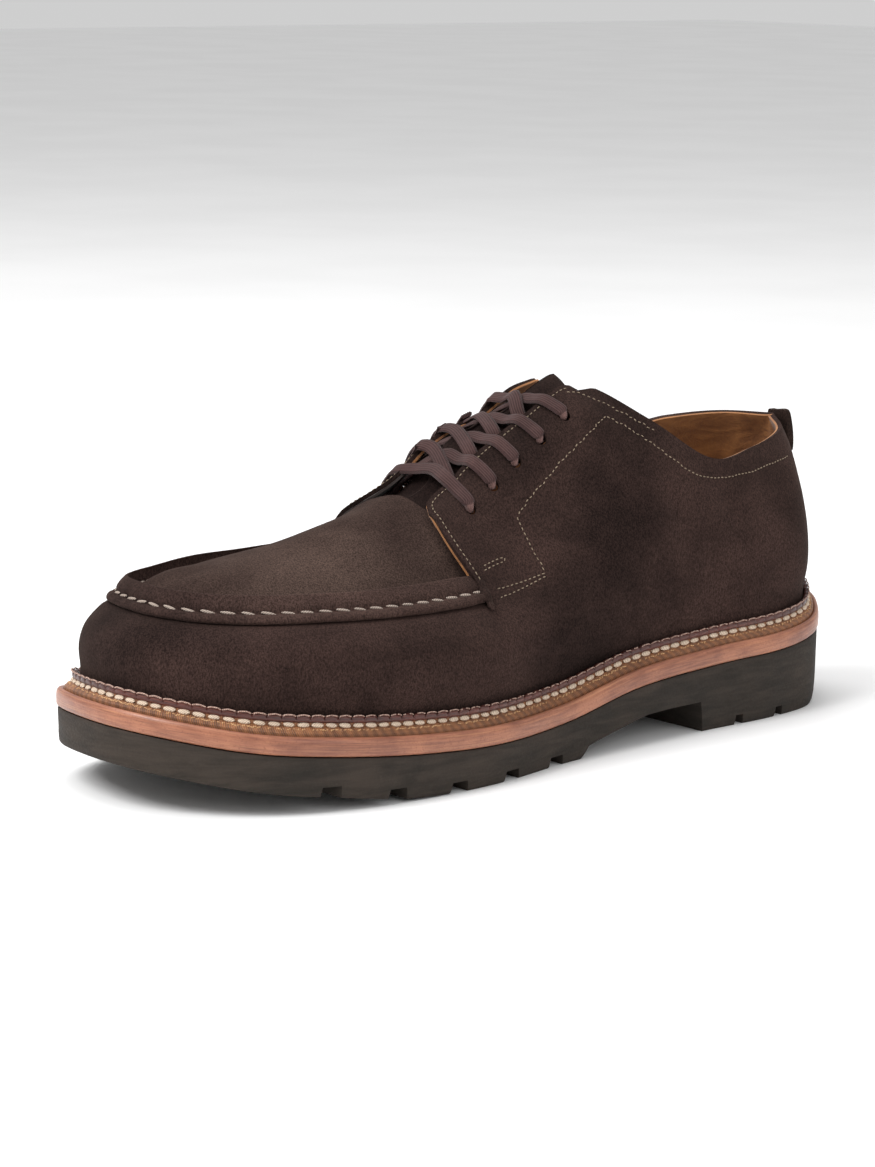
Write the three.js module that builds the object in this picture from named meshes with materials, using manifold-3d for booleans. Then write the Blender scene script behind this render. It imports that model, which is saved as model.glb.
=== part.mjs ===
import * as THREE from "three";
import Module from "manifold-3d";

const wasm = await Module();
wasm.setup();

// Driving sizes in mm. A left shoe: toe towards -Y, outer side towards +X, floor at Z = 0.
const LENGTH = 306; // sole, heel to toe
const BALL_WIDTH = 111; // sole at its widest
const HEEL_STACK = 24; // rubber under the heel
const TOE_SPRING = 14.4; // lift of the rubber at the tip of the toe
const INSTEP = 120; // floor to the top of the facings

// Walls and edges
const MIDSOLE = 5.3; // flat top of the midsole above its underside
const WELT_WIDTH = 8; // sole edge to the upper
const WELT_RISE = 12.3; // top of the welt above the underside of the midsole
const WALL = 2.3; // leather of the upper with its lining
const INSOLE = 3;
const TONGUE = 3.2;
const TAB = 4; // folded tab at the back
const LUG = 3.4; // depth of the tread

// Clearances
const GAP = 0.35; // between pieces that meet
const LACE_ROOM = 2.6; // from a facing down to the tongue
const SLIP = 1; // from the vamp down to the tongue

// Throat, measured across the shoe
const THROAT_MIDDLE = -4.5;
const THROAT_HALF = 12;
const EYELET_IN = 10.5; // edge of a facing to its eyelets
const EYELET_HOLE = 5.6;
const EYELETS = [0.558, 0.527, 0.495, 0.46, 0.425]; // shares of the length

// Lace
const LACE_WIDTH = 6;
const LACE_THICK = 1.3;

// Resolution
const SOLE_STEPS = 34;
const BACK_RIBS = 17;
const FRONT_RIBS = 14;
const SPANS = [1, 2, 2, 2, 2, 1, 3, 3]; // steps between the named heights of a rib
const STEP_AT = 0.584; // front edge of the facings, share of the length
const STEP_HALF = 0.0006;
const INNER_SLANT = 0.024; // how much further forward the inner facing reaches at its foot
const SLANT_SPAN = 0.05;
const SPINE_FROM = 0.43; // in front of this share the two sides meet over the instep
const [LEVEL_FROM, LEVEL_TO] = [0.535, 0.578]; // where the lining drops to the level of the vamp

const turnOf = (along) => Math.acos(1 - 2 * along);
const same = (value) => value;

// A table is a list of rows under named columns, read by a smooth curve through its first column.
function table(names, rows, keyOf = same) {
  const keys = rows.map((row) => keyOf(row[0]));
  const slopes = names.slice(1).map((_, column) => tangents(keys, rows.map((row) => row[column + 1])));
  return (name, at) => {
    const column = names.indexOf(name) - 1;
    const x = Math.min(Math.max(keyOf(at), keys[0]), keys.at(-1));
    const i = Math.max(keys.findIndex((key) => key >= x) - 1, 0);
    const span = keys[i + 1] - keys[i];
    const t = (x - keys[i]) / span;
    const [low, high] = [rows[i][column + 1], rows[i + 1][column + 1]];
    const [rise, fall] = [slopes[column][i] * span, slopes[column][i + 1] * span];
    const ease = t * t * (3 - 2 * t);
    return low + (high - low) * ease + t * (1 - t) * (rise * (1 - t) - fall * t);
  };
}

function tangents(keys, values) {
  const steps = keys.slice(1).map((key, i) => (values[i + 1] - values[i]) / (key - keys[i]));
  return keys.map((key, i) => {
    if (i === 0) return steps[0];
    if (i === keys.length - 1) return steps.at(-1);
    const [before, after] = [key - keys[i - 1], keys[i + 1] - key];
    return (steps[i - 1] * after + steps[i] * before) / (before + after);
  });
}

// Half widths of the sole as shares of the ball width
const OUTLINE = table(["along", "lateral", "medial"], [
  [0, 0, 0],
  [0.03, 0.191, 0.189],
  [0.08, 0.314, 0.297],
  [0.16, 0.368, 0.347],
  [0.26, 0.379, 0.342],
  [0.38, 0.394, 0.311],
  [0.5, 0.438, 0.32],
  [0.62, 0.508, 0.387],
  [0.72, 0.519, 0.464],
  [0.82, 0.489, 0.505],
  [0.9, 0.408, 0.454],
  [0.96, 0.273, 0.362],
  [1, 0, 0],
], turnOf);

// Underside of the midsole, share of the heel stack
const STACK = table(["along", "height"], [
  [0, 1.238],
  [0.12, 1.012],
  [0.25, 0.946],
  [0.38, 0.825],
  [0.5, 0.579],
  [0.62, 0.546],
  [0.72, 0.612],
  [0.82, 0.725],
  [0.91, 0.854],
  [1, 1.092],
]);

// Ground line of the forefoot, share of the toe spring
const SPRING = table(["along", "height"], [
  [0, 0],
  [0.66, 0],
  [0.74, 0.069],
  [0.82, 0.299],
  [0.9, 0.528],
  [0.96, 0.799],
  [1, 1],
]);

// Width of the welt on each side, share of the widest welt
const WELT = table(["along", "lateral", "medial"], [
  [0, 0.69, 0.69],
  [0.1, 0.76, 0.72],
  [0.3, 0.92, 0.72],
  [0.5, 1, 0.74],
  [0.7, 1, 0.95],
  [0.9, 1, 1],
  [1, 0.94, 0.94],
]);

// Ribs of the upper run from the welt to its top edge, a row for each, in per cent. Columns ending in
// "In" are distances inwards from the foot of the rib, of the ball width. Columns ending in "Up" are
// heights, of the rise from the top of the welt to the top of the rib. topOut is of the ball width,
// along and topAlong are of the length, and topUp is of the instep height.
const RIB_COLUMNS = ["along", "bulgeIn", "bulgeUp", "wallIn", "wallUp", "edgeIn", "edgeUp", "ridgeIn",
  "ridgeUp", "baseIn", "baseUp", "crownIn", "crownUp", "topOut", "topAlong", "topUp"];
const ribTable = (rows) => table(RIB_COLUMNS, rows.map((row) => row.map((value) => value / 100)));
const LATERAL_QUARTER = ribTable([
  [0, -1.6, 12.2, -1.1, 29.6, 0.7, 48.7, 2.9, 66.1, 4, 74.8, 5.4, 87.8, 0, 4.2, 82.9],
  [8, -1.6, 18.5, -1.4, 37.3, 0.9, 57.7, 4.5, 74.8, 5.9, 80.7, 8.6, 90.1, 15.3, 8.5, 80.7],
  [16, -1.6, 21.2, -1.2, 42.1, 1.1, 62.9, 4.1, 78.6, 5, 83.8, 6.8, 91.6, 22.5, 15.4, 77.8],
  [25, -1.8, 20.9, -1.8, 41.9, -0.3, 62.8, 2, 78.5, 2.7, 83.8, 4.3, 91.6, 26.6, 23.9, 76.9],
  [33, -2, 15.6, -2.3, 33.3, -0.9, 51, 2.3, 68.7, 3.6, 74.8, 7.7, 88.4, 19.8, 31.4, 89.2],
  [37, -2.3, 13.7, -2.5, 29.2, -0.5, 46.5, 4.5, 64.9, 6.8, 72.6, 13.1, 88.7, 10.8, 35.9, 97.1],
  [41, -2.7, 13.6, -2.7, 28.1, 0.5, 43, 7.2, 62.5, 9.9, 70.2, 17.1, 88.6, 2.7, 39.9, 100.7],
  [45, -2.7, 14.4, -2.3, 29.3, 2.3, 43.7, 9.9, 62.1, 12.6, 69, 20.3, 87.9, -2.7, 44.8, 96.2],
  [50, -2.7, 14.8, -1.8, 28.6, 4.1, 42.4, 12.2, 59.8, 14.9, 65.4, 23, 84.4, -5.4, 50, 91.2],
  [55, -2.7, 13.9, -1.4, 27.6, 5.9, 41.9, 13.5, 56.9, 16.2, 62.2, 26.1, 81.1, -7.7, 54.9, 85],
  [58.4, -2.7, 14.7, -0.9, 29.7, 7, 44.5, 13.8, 58.4, 16.2, 62.7, 27.5, 79.2, -8.1, 58.4, 79.2],
]);
const LATERAL_VAMP = ribTable([
  [58.4, -2.7, 16.3, -0.9, 33.1, 7, 49.5, 13.8, 59.7, 15.1, 53.8, 27.9, 82.5, -4.5, 58.4, 73.3],
  [62, -2.7, 16.2, -0.9, 34.7, 7.2, 51.5, 14, 63.3, 15.3, 56.6, 28.8, 81.8, -2.7, 62.1, 70.7],
  [68, -2.6, 17, -0.8, 37.1, 7.4, 54.4, 14.1, 67.2, 15.5, 59.9, 28.8, 82.7, -0.9, 68, 67.5],
  [74, -2.5, 17.4, -0.7, 39.8, 7.4, 59.2, 14, 73.1, 15.3, 64.9, 28.8, 85.3, 0, 74, 63.7],
  [80, -2.3, 20.1, -0.5, 45, 7.2, 63.6, 13.5, 79, 15, 69.9, 27, 88, 0, 78.4, 61.1],
  [86, -1.8, 22.3, 0, 47.9, 7.4, 65.3, 13.5, 82.2, 14.9, 72.4, 26.1, 89.5, 0, 81.4, 59.8],
  [92, -1.1, 25.7, 0.7, 48.2, 7.9, 65, 13.5, 83.8, 14.9, 73.2, 25.2, 90.2, 0, 82.7, 59.2],
  [97, -0.5, 23.3, 1.4, 44.6, 8.3, 63.8, 13.3, 84.3, 14.8, 72, 25.2, 90.7, 0, 83.3, 59],
  [100, -0.5, 21.7, 1.4, 42.5, 8.4, 63.7, 13.3, 85.4, 14.9, 72.4, 25.2, 91, 0, 83.7, 58.9],
]);
const MEDIAL_QUARTER = ribTable([
  [0, -1.6, 12.2, -1.1, 29.6, 0.7, 48.7, 2.9, 66.1, 4, 74.8, 5.4, 87.8, 0, 4.2, 82.9],
  [8, -1.6, 17.7, -1.1, 35.6, 1.4, 55.1, 4.5, 71.4, 5.7, 78.7, 8.1, 89.3, 14, 8.2, 83],
  [16, -1.6, 19.3, -0.9, 38.4, 1.6, 57.4, 4.5, 74.1, 5.4, 80.5, 7.7, 90, 19.4, 15, 82.3],
  [25, -2.3, 19.8, -2.5, 39.6, -1.1, 59.4, 1.4, 77.6, 2.2, 84.2, 3.6, 91.6, 23.9, 23.5, 79.7],
  [33, -3.6, 15.5, -5, 33.1, -4.1, 50.6, -1.4, 68.2, 0, 75.7, 3.6, 89.9, 20.3, 31, 89.6],
  [37, -4.5, 13.4, -6.3, 28.4, -5.4, 44.6, -1.4, 63.2, 0.9, 70.7, 6.3, 88.1, 14.4, 36.6, 99],
  [41, -5.4, 13.4, -7.7, 27.5, -6.8, 42.7, -1.8, 60.7, 0.9, 69.4, 9, 89, 8.1, 40.2, 102.2],
  [45, -6.3, 14.4, -9, 29.3, -7.7, 44.3, -2.3, 63.2, 0.5, 70.7, 11.3, 91.4, 2.7, 44.8, 96.2],
  [50, -6.3, 15.4, -9.5, 28.6, -8.1, 43, -2.3, 61.6, 0.5, 68.8, 11.3, 91.6, 5.4, 50, 91.2],
  [55, -5.9, 15.2, -9, 28.2, -6.8, 42.6, 0.5, 60.2, 3.2, 67.4, 13.5, 90.9, 7.7, 54.9, 85],
  [58.4, -5.4, 15.4, -7.7, 29.7, -3.6, 48.4, 4.5, 65.6, 7.2, 72, 16.2, 89.2, 8.1, 58.4, 79.2],
]);
const MEDIAL_VAMP = ribTable([
  [58.4, -5.4, 17.1, -7.7, 33.1, -3.6, 53.8, 4.1, 71, 5.4, 64.9, 14, 89.6, 4.5, 58.4, 73.3],
  [62, -4.5, 17.8, -5.9, 34.7, -1.4, 56.6, 5.4, 73.4, 6.8, 66.7, 16.7, 88.6, 2.7, 62.1, 70.7],
  [68, -3.6, 19.7, -4.1, 38, 1.8, 59.9, 8.4, 75.9, 9.7, 68.3, 21.6, 88.1, 0.9, 68, 67.5],
  [74, -3.2, 21.5, -2.7, 41.9, 4.5, 64.3, 11.3, 81.2, 12.6, 72.5, 25.2, 89.4, 0, 74, 63.7],
  [80, -2.2, 22.4, -0.9, 45.7, 6.7, 67.7, 13.2, 85.7, 14.4, 76.5, 27, 91.4, 0, 78.4, 61.1],
  [86, -1.1, 24.7, 0.5, 46.7, 7.7, 67.5, 13.5, 86.3, 15, 76, 27, 91.7, 0, 81.4, 59.8],
  [92, -0.4, 25.7, 1.5, 45.1, 8.4, 66.6, 13.3, 85.9, 14.8, 74.8, 26.1, 91.8, 0, 82.7, 59.2],
  [97, -0.4, 21.9, 1.6, 42.3, 8.4, 64.4, 13.3, 84.8, 14.8, 72.6, 25.2, 91.3, 0, 83.3, 59],
  [100, -0.5, 21.7, 1.4, 42.5, 8.4, 63.7, 13.3, 85.4, 14.9, 72.4, 25.2, 91, 0, 83.7, 58.9],
]);
const SHAPES = {
  lateral: { quarter: LATERAL_QUARTER, vamp: LATERAL_VAMP },
  medial: { quarter: MEDIAL_QUARTER, vamp: MEDIAL_VAMP },
};

// Curves in the shoe's own terms: share along, side, height
const sideSign = { lateral: 1, medial: -1 };
const stackAt = (along) => HEEL_STACK * STACK("height", along);
const groundAt = (along) => TOE_SPRING * Math.max(SPRING("height", along), 0);
const yOf = (along) => LENGTH * (0.5 - along);
const alongOf = (y) => 0.5 - y / LENGTH;

function edgePoint(along, side) {
  return new THREE.Vector2(sideSign[side] * BALL_WIDTH * OUTLINE(side, along), yOf(along));
}

// A point set in from the edge of the sole, square to it.
function insetPoint(turn, side, inset) {
  const along = (1 - Math.cos(turn)) / 2;
  const here = edgePoint(along, side);
  const step = 0.02;
  const ends = [turn - step, turn + step].map((at) => {
    const share = (1 - Math.cos(at)) / 2;
    const mirrored = at < 0 || at > Math.PI;
    const other = side === "lateral" ? "medial" : "lateral";
    return edgePoint(share, mirrored ? other : side);
  });
  const direction = ends[1].sub(ends[0]).normalize();
  const inwards = new THREE.Vector2(direction.y, -direction.x).multiplyScalar(sideSign[side]);
  return here.addScaledVector(inwards, inset);
}

const weltWidth = (along, side) => WELT_WIDTH * WELT(side, along);
const SIDES = ["lateral", "medial"];

// Solids
// Six times the volume inside a closed surface, with the sign of the way its faces turn.
function signedVolume(points, faces) {
  return faces.reduce((sum, [a, b, c]) => sum + points[a].dot(points[b].clone().cross(points[c])), 0);
}
function solidOf(points, faces) {
  const seen = new Map();
  const kept = [];
  const ids = points.map((point) => {
    const key = [point.x, point.y, point.z].map((value) => value.toFixed(4)).join();
    if (!seen.has(key)) seen.set(key, kept.push(point.x, point.y, point.z) / 3 - 1);
    return seen.get(key);
  });
  const joined = faces.map((face) => face.map((id) => ids[id]));
  const whole = joined.filter(([a, b, c]) => a !== b && b !== c && c !== a);
  const corners = Array.from({ length: kept.length / 3 }, (_, i) => {
    return new THREE.Vector3().fromArray(kept, 3 * i);
  });
  const facesOut = signedVolume(corners, whole) > 0;
  return new wasm.Manifold(new wasm.Mesh({
    numProp: 3,
    vertProperties: new Float32Array(kept),
    triVerts: new Uint32Array(whole.flatMap(([a, b, c]) => (facesOut ? [a, b, c] : [a, c, b]))),
  }));
}

// Two faces for each cell between rows of the same length.
function weave(rows, closed) {
  const count = rows[0].length;
  const faces = [];
  for (let i = 0; i + 1 < rows.length; i++) {
    for (let j = 0; j < (closed ? count : count - 1); j++) {
      const [a, b] = [i * count + j, i * count + ((j + 1) % count)];
      faces.push([a, b, b + count], [a, b + count, a + count]);
    }
  }
  return faces;
}

// A body between matching strips on both sides: each strip runs from its foot to its top, the strips
// meet at both ends of the shoe, and flat bands join the two sides below and above.
function twoSided(lateral, medial) {
  const rows = lateral.map((strip, i) => [...strip, ...medial[i].slice().reverse()]);
  return solidOf(rows.flat(), weave(rows, true));
}

function slab(levels) {
  const strips = SIDES.map((side) => {
    const made = [];
    for (let i = 0; i <= SOLE_STEPS; i++) {
      const turn = (Math.PI * i) / SOLE_STEPS;
      const along = (1 - Math.cos(turn)) / 2;
      made.push(levels.map(([inset, height]) => {
        const flat = insetPoint(turn, side, inset(along, side));
        return new THREE.Vector3(flat.x, flat.y, height(alongOf(flat.y)));
      }));
    }
    return made;
  });
  return twoSided(...strips);
}

// A ring round the whole shoe with one closed section.
function ringOf(section) {
  const rows = [];
  for (let i = 0; i < 2 * SOLE_STEPS; i++) {
    const back = i > SOLE_STEPS;
    const turn = (Math.PI * (back ? 2 * SOLE_STEPS - i : i)) / SOLE_STEPS;
    const side = back ? "medial" : "lateral";
    const along = (1 - Math.cos(turn)) / 2;
    rows.push(section(along, side).map(([inset, rise]) => {
      const flat = insetPoint(turn, side, inset);
      return new THREE.Vector3(flat.x, flat.y, stackAt(alongOf(flat.y)) + rise);
    }));
  }
  rows.push(rows[0]);
  return solidOf(rows.flat(), weave(rows, true));
}

// A straight body: a polygon moved along one axis. place(u, v, w) puts it in the shoe.
function prism(outline, from, to, place) {
  const drawn = outline.map(([u, v]) => new THREE.Vector2(u, v));
  const polygon = THREE.ShapeUtils.area(drawn) < 0 ? outline.slice().reverse() : outline;
  const flat = polygon.map(([u, v]) => new THREE.Vector2(u, v));
  const caps = THREE.ShapeUtils.triangulateShape(flat, []);
  const count = flat.length;
  const points = [from, to].flatMap((w) => polygon.map(([u, v]) => place(u, v, w)));
  const faces = caps.flatMap(([a, b, c]) => [[a, c, b], [a + count, b + count, c + count]]);
  for (let i = 0; i < count; i++) {
    const next = (i + 1) % count;
    faces.push([i, next, next + count], [i, next + count, i + count]);
  }
  return solidOf(points, faces);
}

const acrossShoe = (y, z, x) => new THREE.Vector3(x, y, z);
const upright = (x, y, z) => new THREE.Vector3(x, y, z);

// Sole
const lip = (share) => (along, side) => share * weltWidth(along, side);
const onStack = (rise) => (along) => stackAt(along) + rise;

const MIDSOLE_SECTION = [ // share of the welt's width in from the edge, share of the midsole's height
  [0.06, 0],
  [0, 0.15],
  [0, 0.8],
  [0.06, 0.98],
  [0.18, 1.12],
  [0.31, 1.08],
  [0.34, 1],
];
const midsole = slab(MIDSOLE_SECTION.map(([share, rise]) => [lip(share), onStack(rise * MIDSOLE)]));

const WELT_FOOT = 0.385; // outer edge of the raised welt, share of the welt's width
const WELT_BACK = 0.95; // height of its inner edge, share of its rise
const WELT_SECTION = [ // share of the width of the welt, share of its rise
  [WELT_FOOT, 0.54],
  [0.56, 0.65],
  [0.7, 0.74],
  [0.74, 0.86],
  [0.81, 0.95],
  [0.9, 0.975],
];
const welt = ringOf((along, side) => {
  const width = weltWidth(along, side);
  const face = WELT_SECTION.map(([share, rise]) => [share * width, rise * WELT_RISE]);
  const inner = width - 1.5 * GAP;
  const floor = MIDSOLE + GAP;
  return [[WELT_FOOT * width, floor], ...face, [inner, WELT_BACK * WELT_RISE], [inner, floor]];
});

const INSOLE_SECTION = [ // gaps in from the lining, share of the insole's thickness
  [2, 0],
  [2, 0.7],
  [4, 1],
];
const insole = slab(INSOLE_SECTION.map(([gaps, rise]) => [
  (along, side) => weltWidth(along, side) + WALL + gaps * GAP,
  onStack(MIDSOLE + GAP + rise * INSOLE),
]));

// Rubber: its edge leans in towards the floor and rolls under at the back of the heel.
const ROLL_SPAN = 0.045; // share of the length over which the heel's lower edge is rounded
const atHeel = (along) => Math.exp(-((along / ROLL_SPAN) ** 2));
const between = (share) => (along) => groundAt(along) + share * (stackAt(along) - GAP - groundAt(along));
const RUBBER_SECTION = [ // mm in from the sole's edge, extra at the back of the heel, share of the height
  [1, 4.2, 0],
  [0.72, 0.92, 0.13],
  [0.6, 0, 0.45],
  [GAP, 0, 1],
];
const block = slab(RUBBER_SECTION.map(([inset, heel, rise]) => [
  (along) => inset + heel * atHeel(along),
  between(rise),
]));

const BREAST = 0.276; // front of the heel, share of the length
const ARCH = [ // underside of the waist: share of the length, share of the heel stack
  [BREAST, -0.1],
  [BREAST + 0.005, 0.44],
  [0.33, 0.43],
  [0.365, 0.41],
  [0.41, 0.3],
  [0.447, 0.21],
  [0.462, 0.17],
  [0.483, -0.1],
];
const reach = BALL_WIDTH;
const arch = prism(ARCH.map(([along, up]) => [yOf(along), up * HEEL_STACK]), -reach, reach, acrossShoe);

const FOREFOOT_GROOVES = [0.52, 0.598, 0.677, 0.758, 0.835]; // shares of the length
const HEEL_NOTCHES = [0.152, 0.219];
const GROOVE_WIDTH = 0.029 * LENGTH;
const NOTCH_WIDTH = 0.016 * LENGTH;
const NOTCH_END = 0.68; // inner end of a heel notch, share of the sole's half width
const [STEEP_FLANK, SLANTED_FLANK] = [0.85, 0.55]; // roof of a groove, shares of its half width
function groove(along, width, from, to) {
  const roof = groundAt(along) + LUG;
  const half = width / 2;
  const middle = yOf(along);
  const section = [
    [middle + half, -LUG],
    [middle + STEEP_FLANK * half, roof],
    [middle - SLANTED_FLANK * half, roof],
    [middle - half, -LUG],
  ];
  return prism(section, from, to, acrossShoe);
}
let outsole = block.subtract(arch);
for (const along of FOREFOOT_GROOVES) {
  outsole = outsole.subtract(groove(along, GROOVE_WIDTH, -reach, reach));
}
for (const along of HEEL_NOTCHES) {
  for (const side of SIDES) {
    const inner = NOTCH_END * edgePoint(along, side).x;
    const ends = [inner, sideSign[side] * reach].sort((p, q) => p - q);
    outsole = outsole.subtract(groove(along, NOTCH_WIDTH, ...ends));
  }
}

// Upper
const RIB_NAMES = ["bulge", "wall", "edge", "ridge", "base", "crown"];
const RIM = [4, 5, 6]; // points of a vamp rib that stay sharp
const ramp = (from, to, at) => THREE.MathUtils.smoothstep(at, from, to);

// The inner facing leans forward towards its foot.
const footAlong = (along, side) => {
  if (side === "lateral") return along;
  return along + INNER_SLANT * Math.exp(-(((along - STEP_AT) / SLANT_SPAN) ** 2));
};
function ribPlan(along, side, part) {
  const shape = SHAPES[side][part];
  const at = footAlong(along, side);
  const foot = insetPoint(turnOf(at), side, weltWidth(at, side));
  const top = new THREE.Vector2(
    sideSign[side] * BALL_WIDTH * shape("topOut", along),
    yOf(shape("topAlong", along)),
  );
  const span = top.distanceTo(foot);
  return { shape, foot, span, inwards: top.sub(foot).normalize() };
}

// Points (distance inwards, height) of one rib. A lining rib leaves out the rim.
function ribPoints(along, side, part, lining) {
  const { shape, span } = ribPlan(along, side, part);
  const floor = stackAt(footAlong(along, side));
  const low = floor + WELT_RISE;
  const high = INSTEP * shape("topUp", along);
  const named = RIB_NAMES.map((name) => new THREE.Vector3(
    BALL_WIDTH * shape(name + "In", along),
    low + (high - low) * shape(name + "Up", along),
    0,
  ));
  if (lining && part === "vamp") named[3].lerpVectors(named[2], named[4], 0.5);
  const points = [
    new THREE.Vector3(0, floor + MIDSOLE + 1.4 * GAP, 0),
    new THREE.Vector3(0, low, 0),
    ...named,
    new THREE.Vector3(span, high, 0),
  ];
  const corners = part === "vamp" && !lining ? RIM : [];
  const stops = [0, ...corners, points.length - 1];
  const made = [points[0]];
  for (let s = 0; s + 1 < stops.length; s++) {
    const piece = points.slice(stops[s], stops[s + 1] + 1);
    const line = new THREE.CatmullRomCurve3(piece, false, "centripetal");
    for (let i = 0; i + 1 < piece.length; i++) {
      const count = SPANS[stops[s] + i];
      for (let j = 1; j <= count; j++) made.push(line.getPoint((i + j / count) / (piece.length - 1)));
    }
  }
  return made;
}

const partAt = (along) => (along < STEP_AT ? "quarter" : "vamp");
const isSpine = (along) => along > SPINE_FROM;

// The wall seen from inside: near the front edge of the facings it drops to the level of the vamp.
function liningPoints(along, side) {
  if (partAt(along) === "vamp") return ribPoints(along, side, "vamp", true);
  const share = ramp(LEVEL_FROM, LEVEL_TO, along);
  const points = ribPoints(along, side, "quarter", true);
  if (share === 0) return points;
  const upper = ribPoints(STEP_AT, side, "quarter", true);
  const lower = ribPoints(STEP_AT, side, "vamp", true);
  return points.map((point, i) => point.clone().addScaledVector(lower[i].clone().sub(upper[i]), share));
}

// The same rib moved inwards, square to itself in its own upright plane.
function offsetPoints(points, depth, spine) {
  return points.map((point, i) => {
    const before = points[Math.max(i - 1, 0)];
    const after = points[Math.min(i + 1, points.length - 1)];
    const along = after.clone().sub(before).normalize();
    const last = spine && i === points.length - 1;
    const inwards = last ? new THREE.Vector3(0, -1, 0) : new THREE.Vector3(along.y, -along.x, 0);
    return point.clone().addScaledVector(inwards, depth);
  });
}

function placed(points, along, side) {
  const { foot, inwards } = ribPlan(along, side, partAt(along));
  return points.map((p) => new THREE.Vector3(foot.x + inwards.x * p.x, foot.y + inwards.y * p.x, p.y));
}

const stepTurns = [STEP_AT - STEP_HALF, STEP_AT + STEP_HALF].map(turnOf);
const backTurns = Array.from({ length: BACK_RIBS }, (_, i) => (stepTurns[0] * i) / BACK_RIBS);
const frontTurns = Array.from({ length: FRONT_RIBS }, (_, i) => {
  return stepTurns[1] + ((Math.PI - stepTurns[1]) * (i + 1)) / FRONT_RIBS;
});
const RIBS = [...backTurns, ...stepTurns, ...frontTurns].map((turn) => (1 - Math.cos(turn)) / 2);

const outerForm = twoSided(...SIDES.map((side) => RIBS.map((along) => {
  return placed(ribPoints(along, side, partAt(along), false), along, side);
})));

const CUT = 4; // how far the hollow runs past the open edges
const innerForm = twoSided(...SIDES.map((side) => RIBS.map((along) => {
  const points = offsetPoints(liningPoints(along, side), WALL, isSpine(along));
  points[0].y -= CUT;
  const top = points.at(-1);
  if (!isSpine(along)) top.add(top.clone().sub(points.at(-2)).setLength(CUT));
  return placed(points, along, side);
})));

// Height and outward direction of the outer face over a point of the plan, behind the vamp.
function heightOver(x, along) {
  const middle = ribPlan(along, "lateral", "quarter");
  const spineX = middle.foot.x + middle.inwards.x * middle.span;
  const side = x > spineX ? "lateral" : "medial";
  const line = placed(ribPoints(along, side, "quarter", false), along, side);
  for (let i = line.length - 1; i > 0; i--) {
    const [high, low] = [line[i], line[i - 1]];
    const share = (x - high.x) / (low.x - high.x);
    if (share >= 0 && share <= 1) return high.z + (low.z - high.z) * share;
  }
  return line.at(-1).z;
}
function facing(x, along) {
  const step = 1;
  const slopeX = (heightOver(x + step, along) - heightOver(x - step, along)) / (2 * step);
  const slopeY = (heightOver(x, along - step / LENGTH) - heightOver(x, along + step / LENGTH)) / (2 * step);
  return {
    point: new THREE.Vector3(x, yOf(along), heightOver(x, along)),
    normal: new THREE.Vector3(-slopeX, -slopeY, 1).normalize(),
  };
}

const edgeX = { lateral: THROAT_MIDDLE + THROAT_HALF, medial: THROAT_MIDDLE - THROAT_HALF };
const eyeletX = { lateral: edgeX.lateral + EYELET_IN, medial: edgeX.medial - EYELET_IN };

const THROAT = [ // half widths of the throat and shares of the length, outer side first
  [1, 0.28],
  [1, 0.565],
  [1.1, 0.576],
  [1.37, STEP_AT - 0.0015],
  [1.37, STEP_AT + 0.003],
  [0.7, STEP_AT + 0.008],
  [0, STEP_AT + 0.011],
  [-0.75, STEP_AT + 0.018],
  [-1.3, STEP_AT + 0.027],
  [-1.45, STEP_AT - 0.0015],
  [-1.1, 0.576],
  [-1, 0.565],
  [-1, 0.28],
];
const throat = prism(
  THROAT.map(([share, along]) => [THROAT_MIDDLE + share * THROAT_HALF, yOf(along)]),
  0.5 * INSTEP,
  1.5 * INSTEP,
  upright,
);

let upper = outerForm.subtract(innerForm).subtract(throat);
const HOLE_SIDES = 10;
const holeRing = Array.from({ length: HOLE_SIDES }, (_, i) => {
  const turn = (2 * Math.PI * i) / HOLE_SIDES;
  return [(EYELET_HOLE / 2) * Math.cos(turn), (EYELET_HOLE / 2) * Math.sin(turn)];
});
for (const along of EYELETS) {
  for (const side of SIDES) {
    const { point, normal } = facing(eyeletX[side], along);
    const turn = new THREE.Quaternion().setFromUnitVectors(new THREE.Vector3(0, 0, 1), normal);
    const placeHole = (u, v, w) => new THREE.Vector3(u, v, w).applyQuaternion(turn).add(point);
    upper = upper.subtract(prism(holeRing, -2 * WALL, 2 * WALL, placeHole));
  }
}

// Tongue
const TONGUE_HALF = 22;
const TONGUE_EDGE = 0.4; // bulge of its side edges, share of its thickness
const TONGUE_STOPS = [0.655, 0.63, 0.605, 0.59, 0.578, 0.56, 0.54, 0.52, 0.495, 0.47, 0.445, 0.425];
const TONGUE_POINTS = 9;
const [NARROW_FROM, NARROW] = [0.62, 0.8]; // front end under the vamp: share of the length, of the width
const WAIST_UP = 0.4; // the tongue only follows what lies above this share of the instep height
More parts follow.
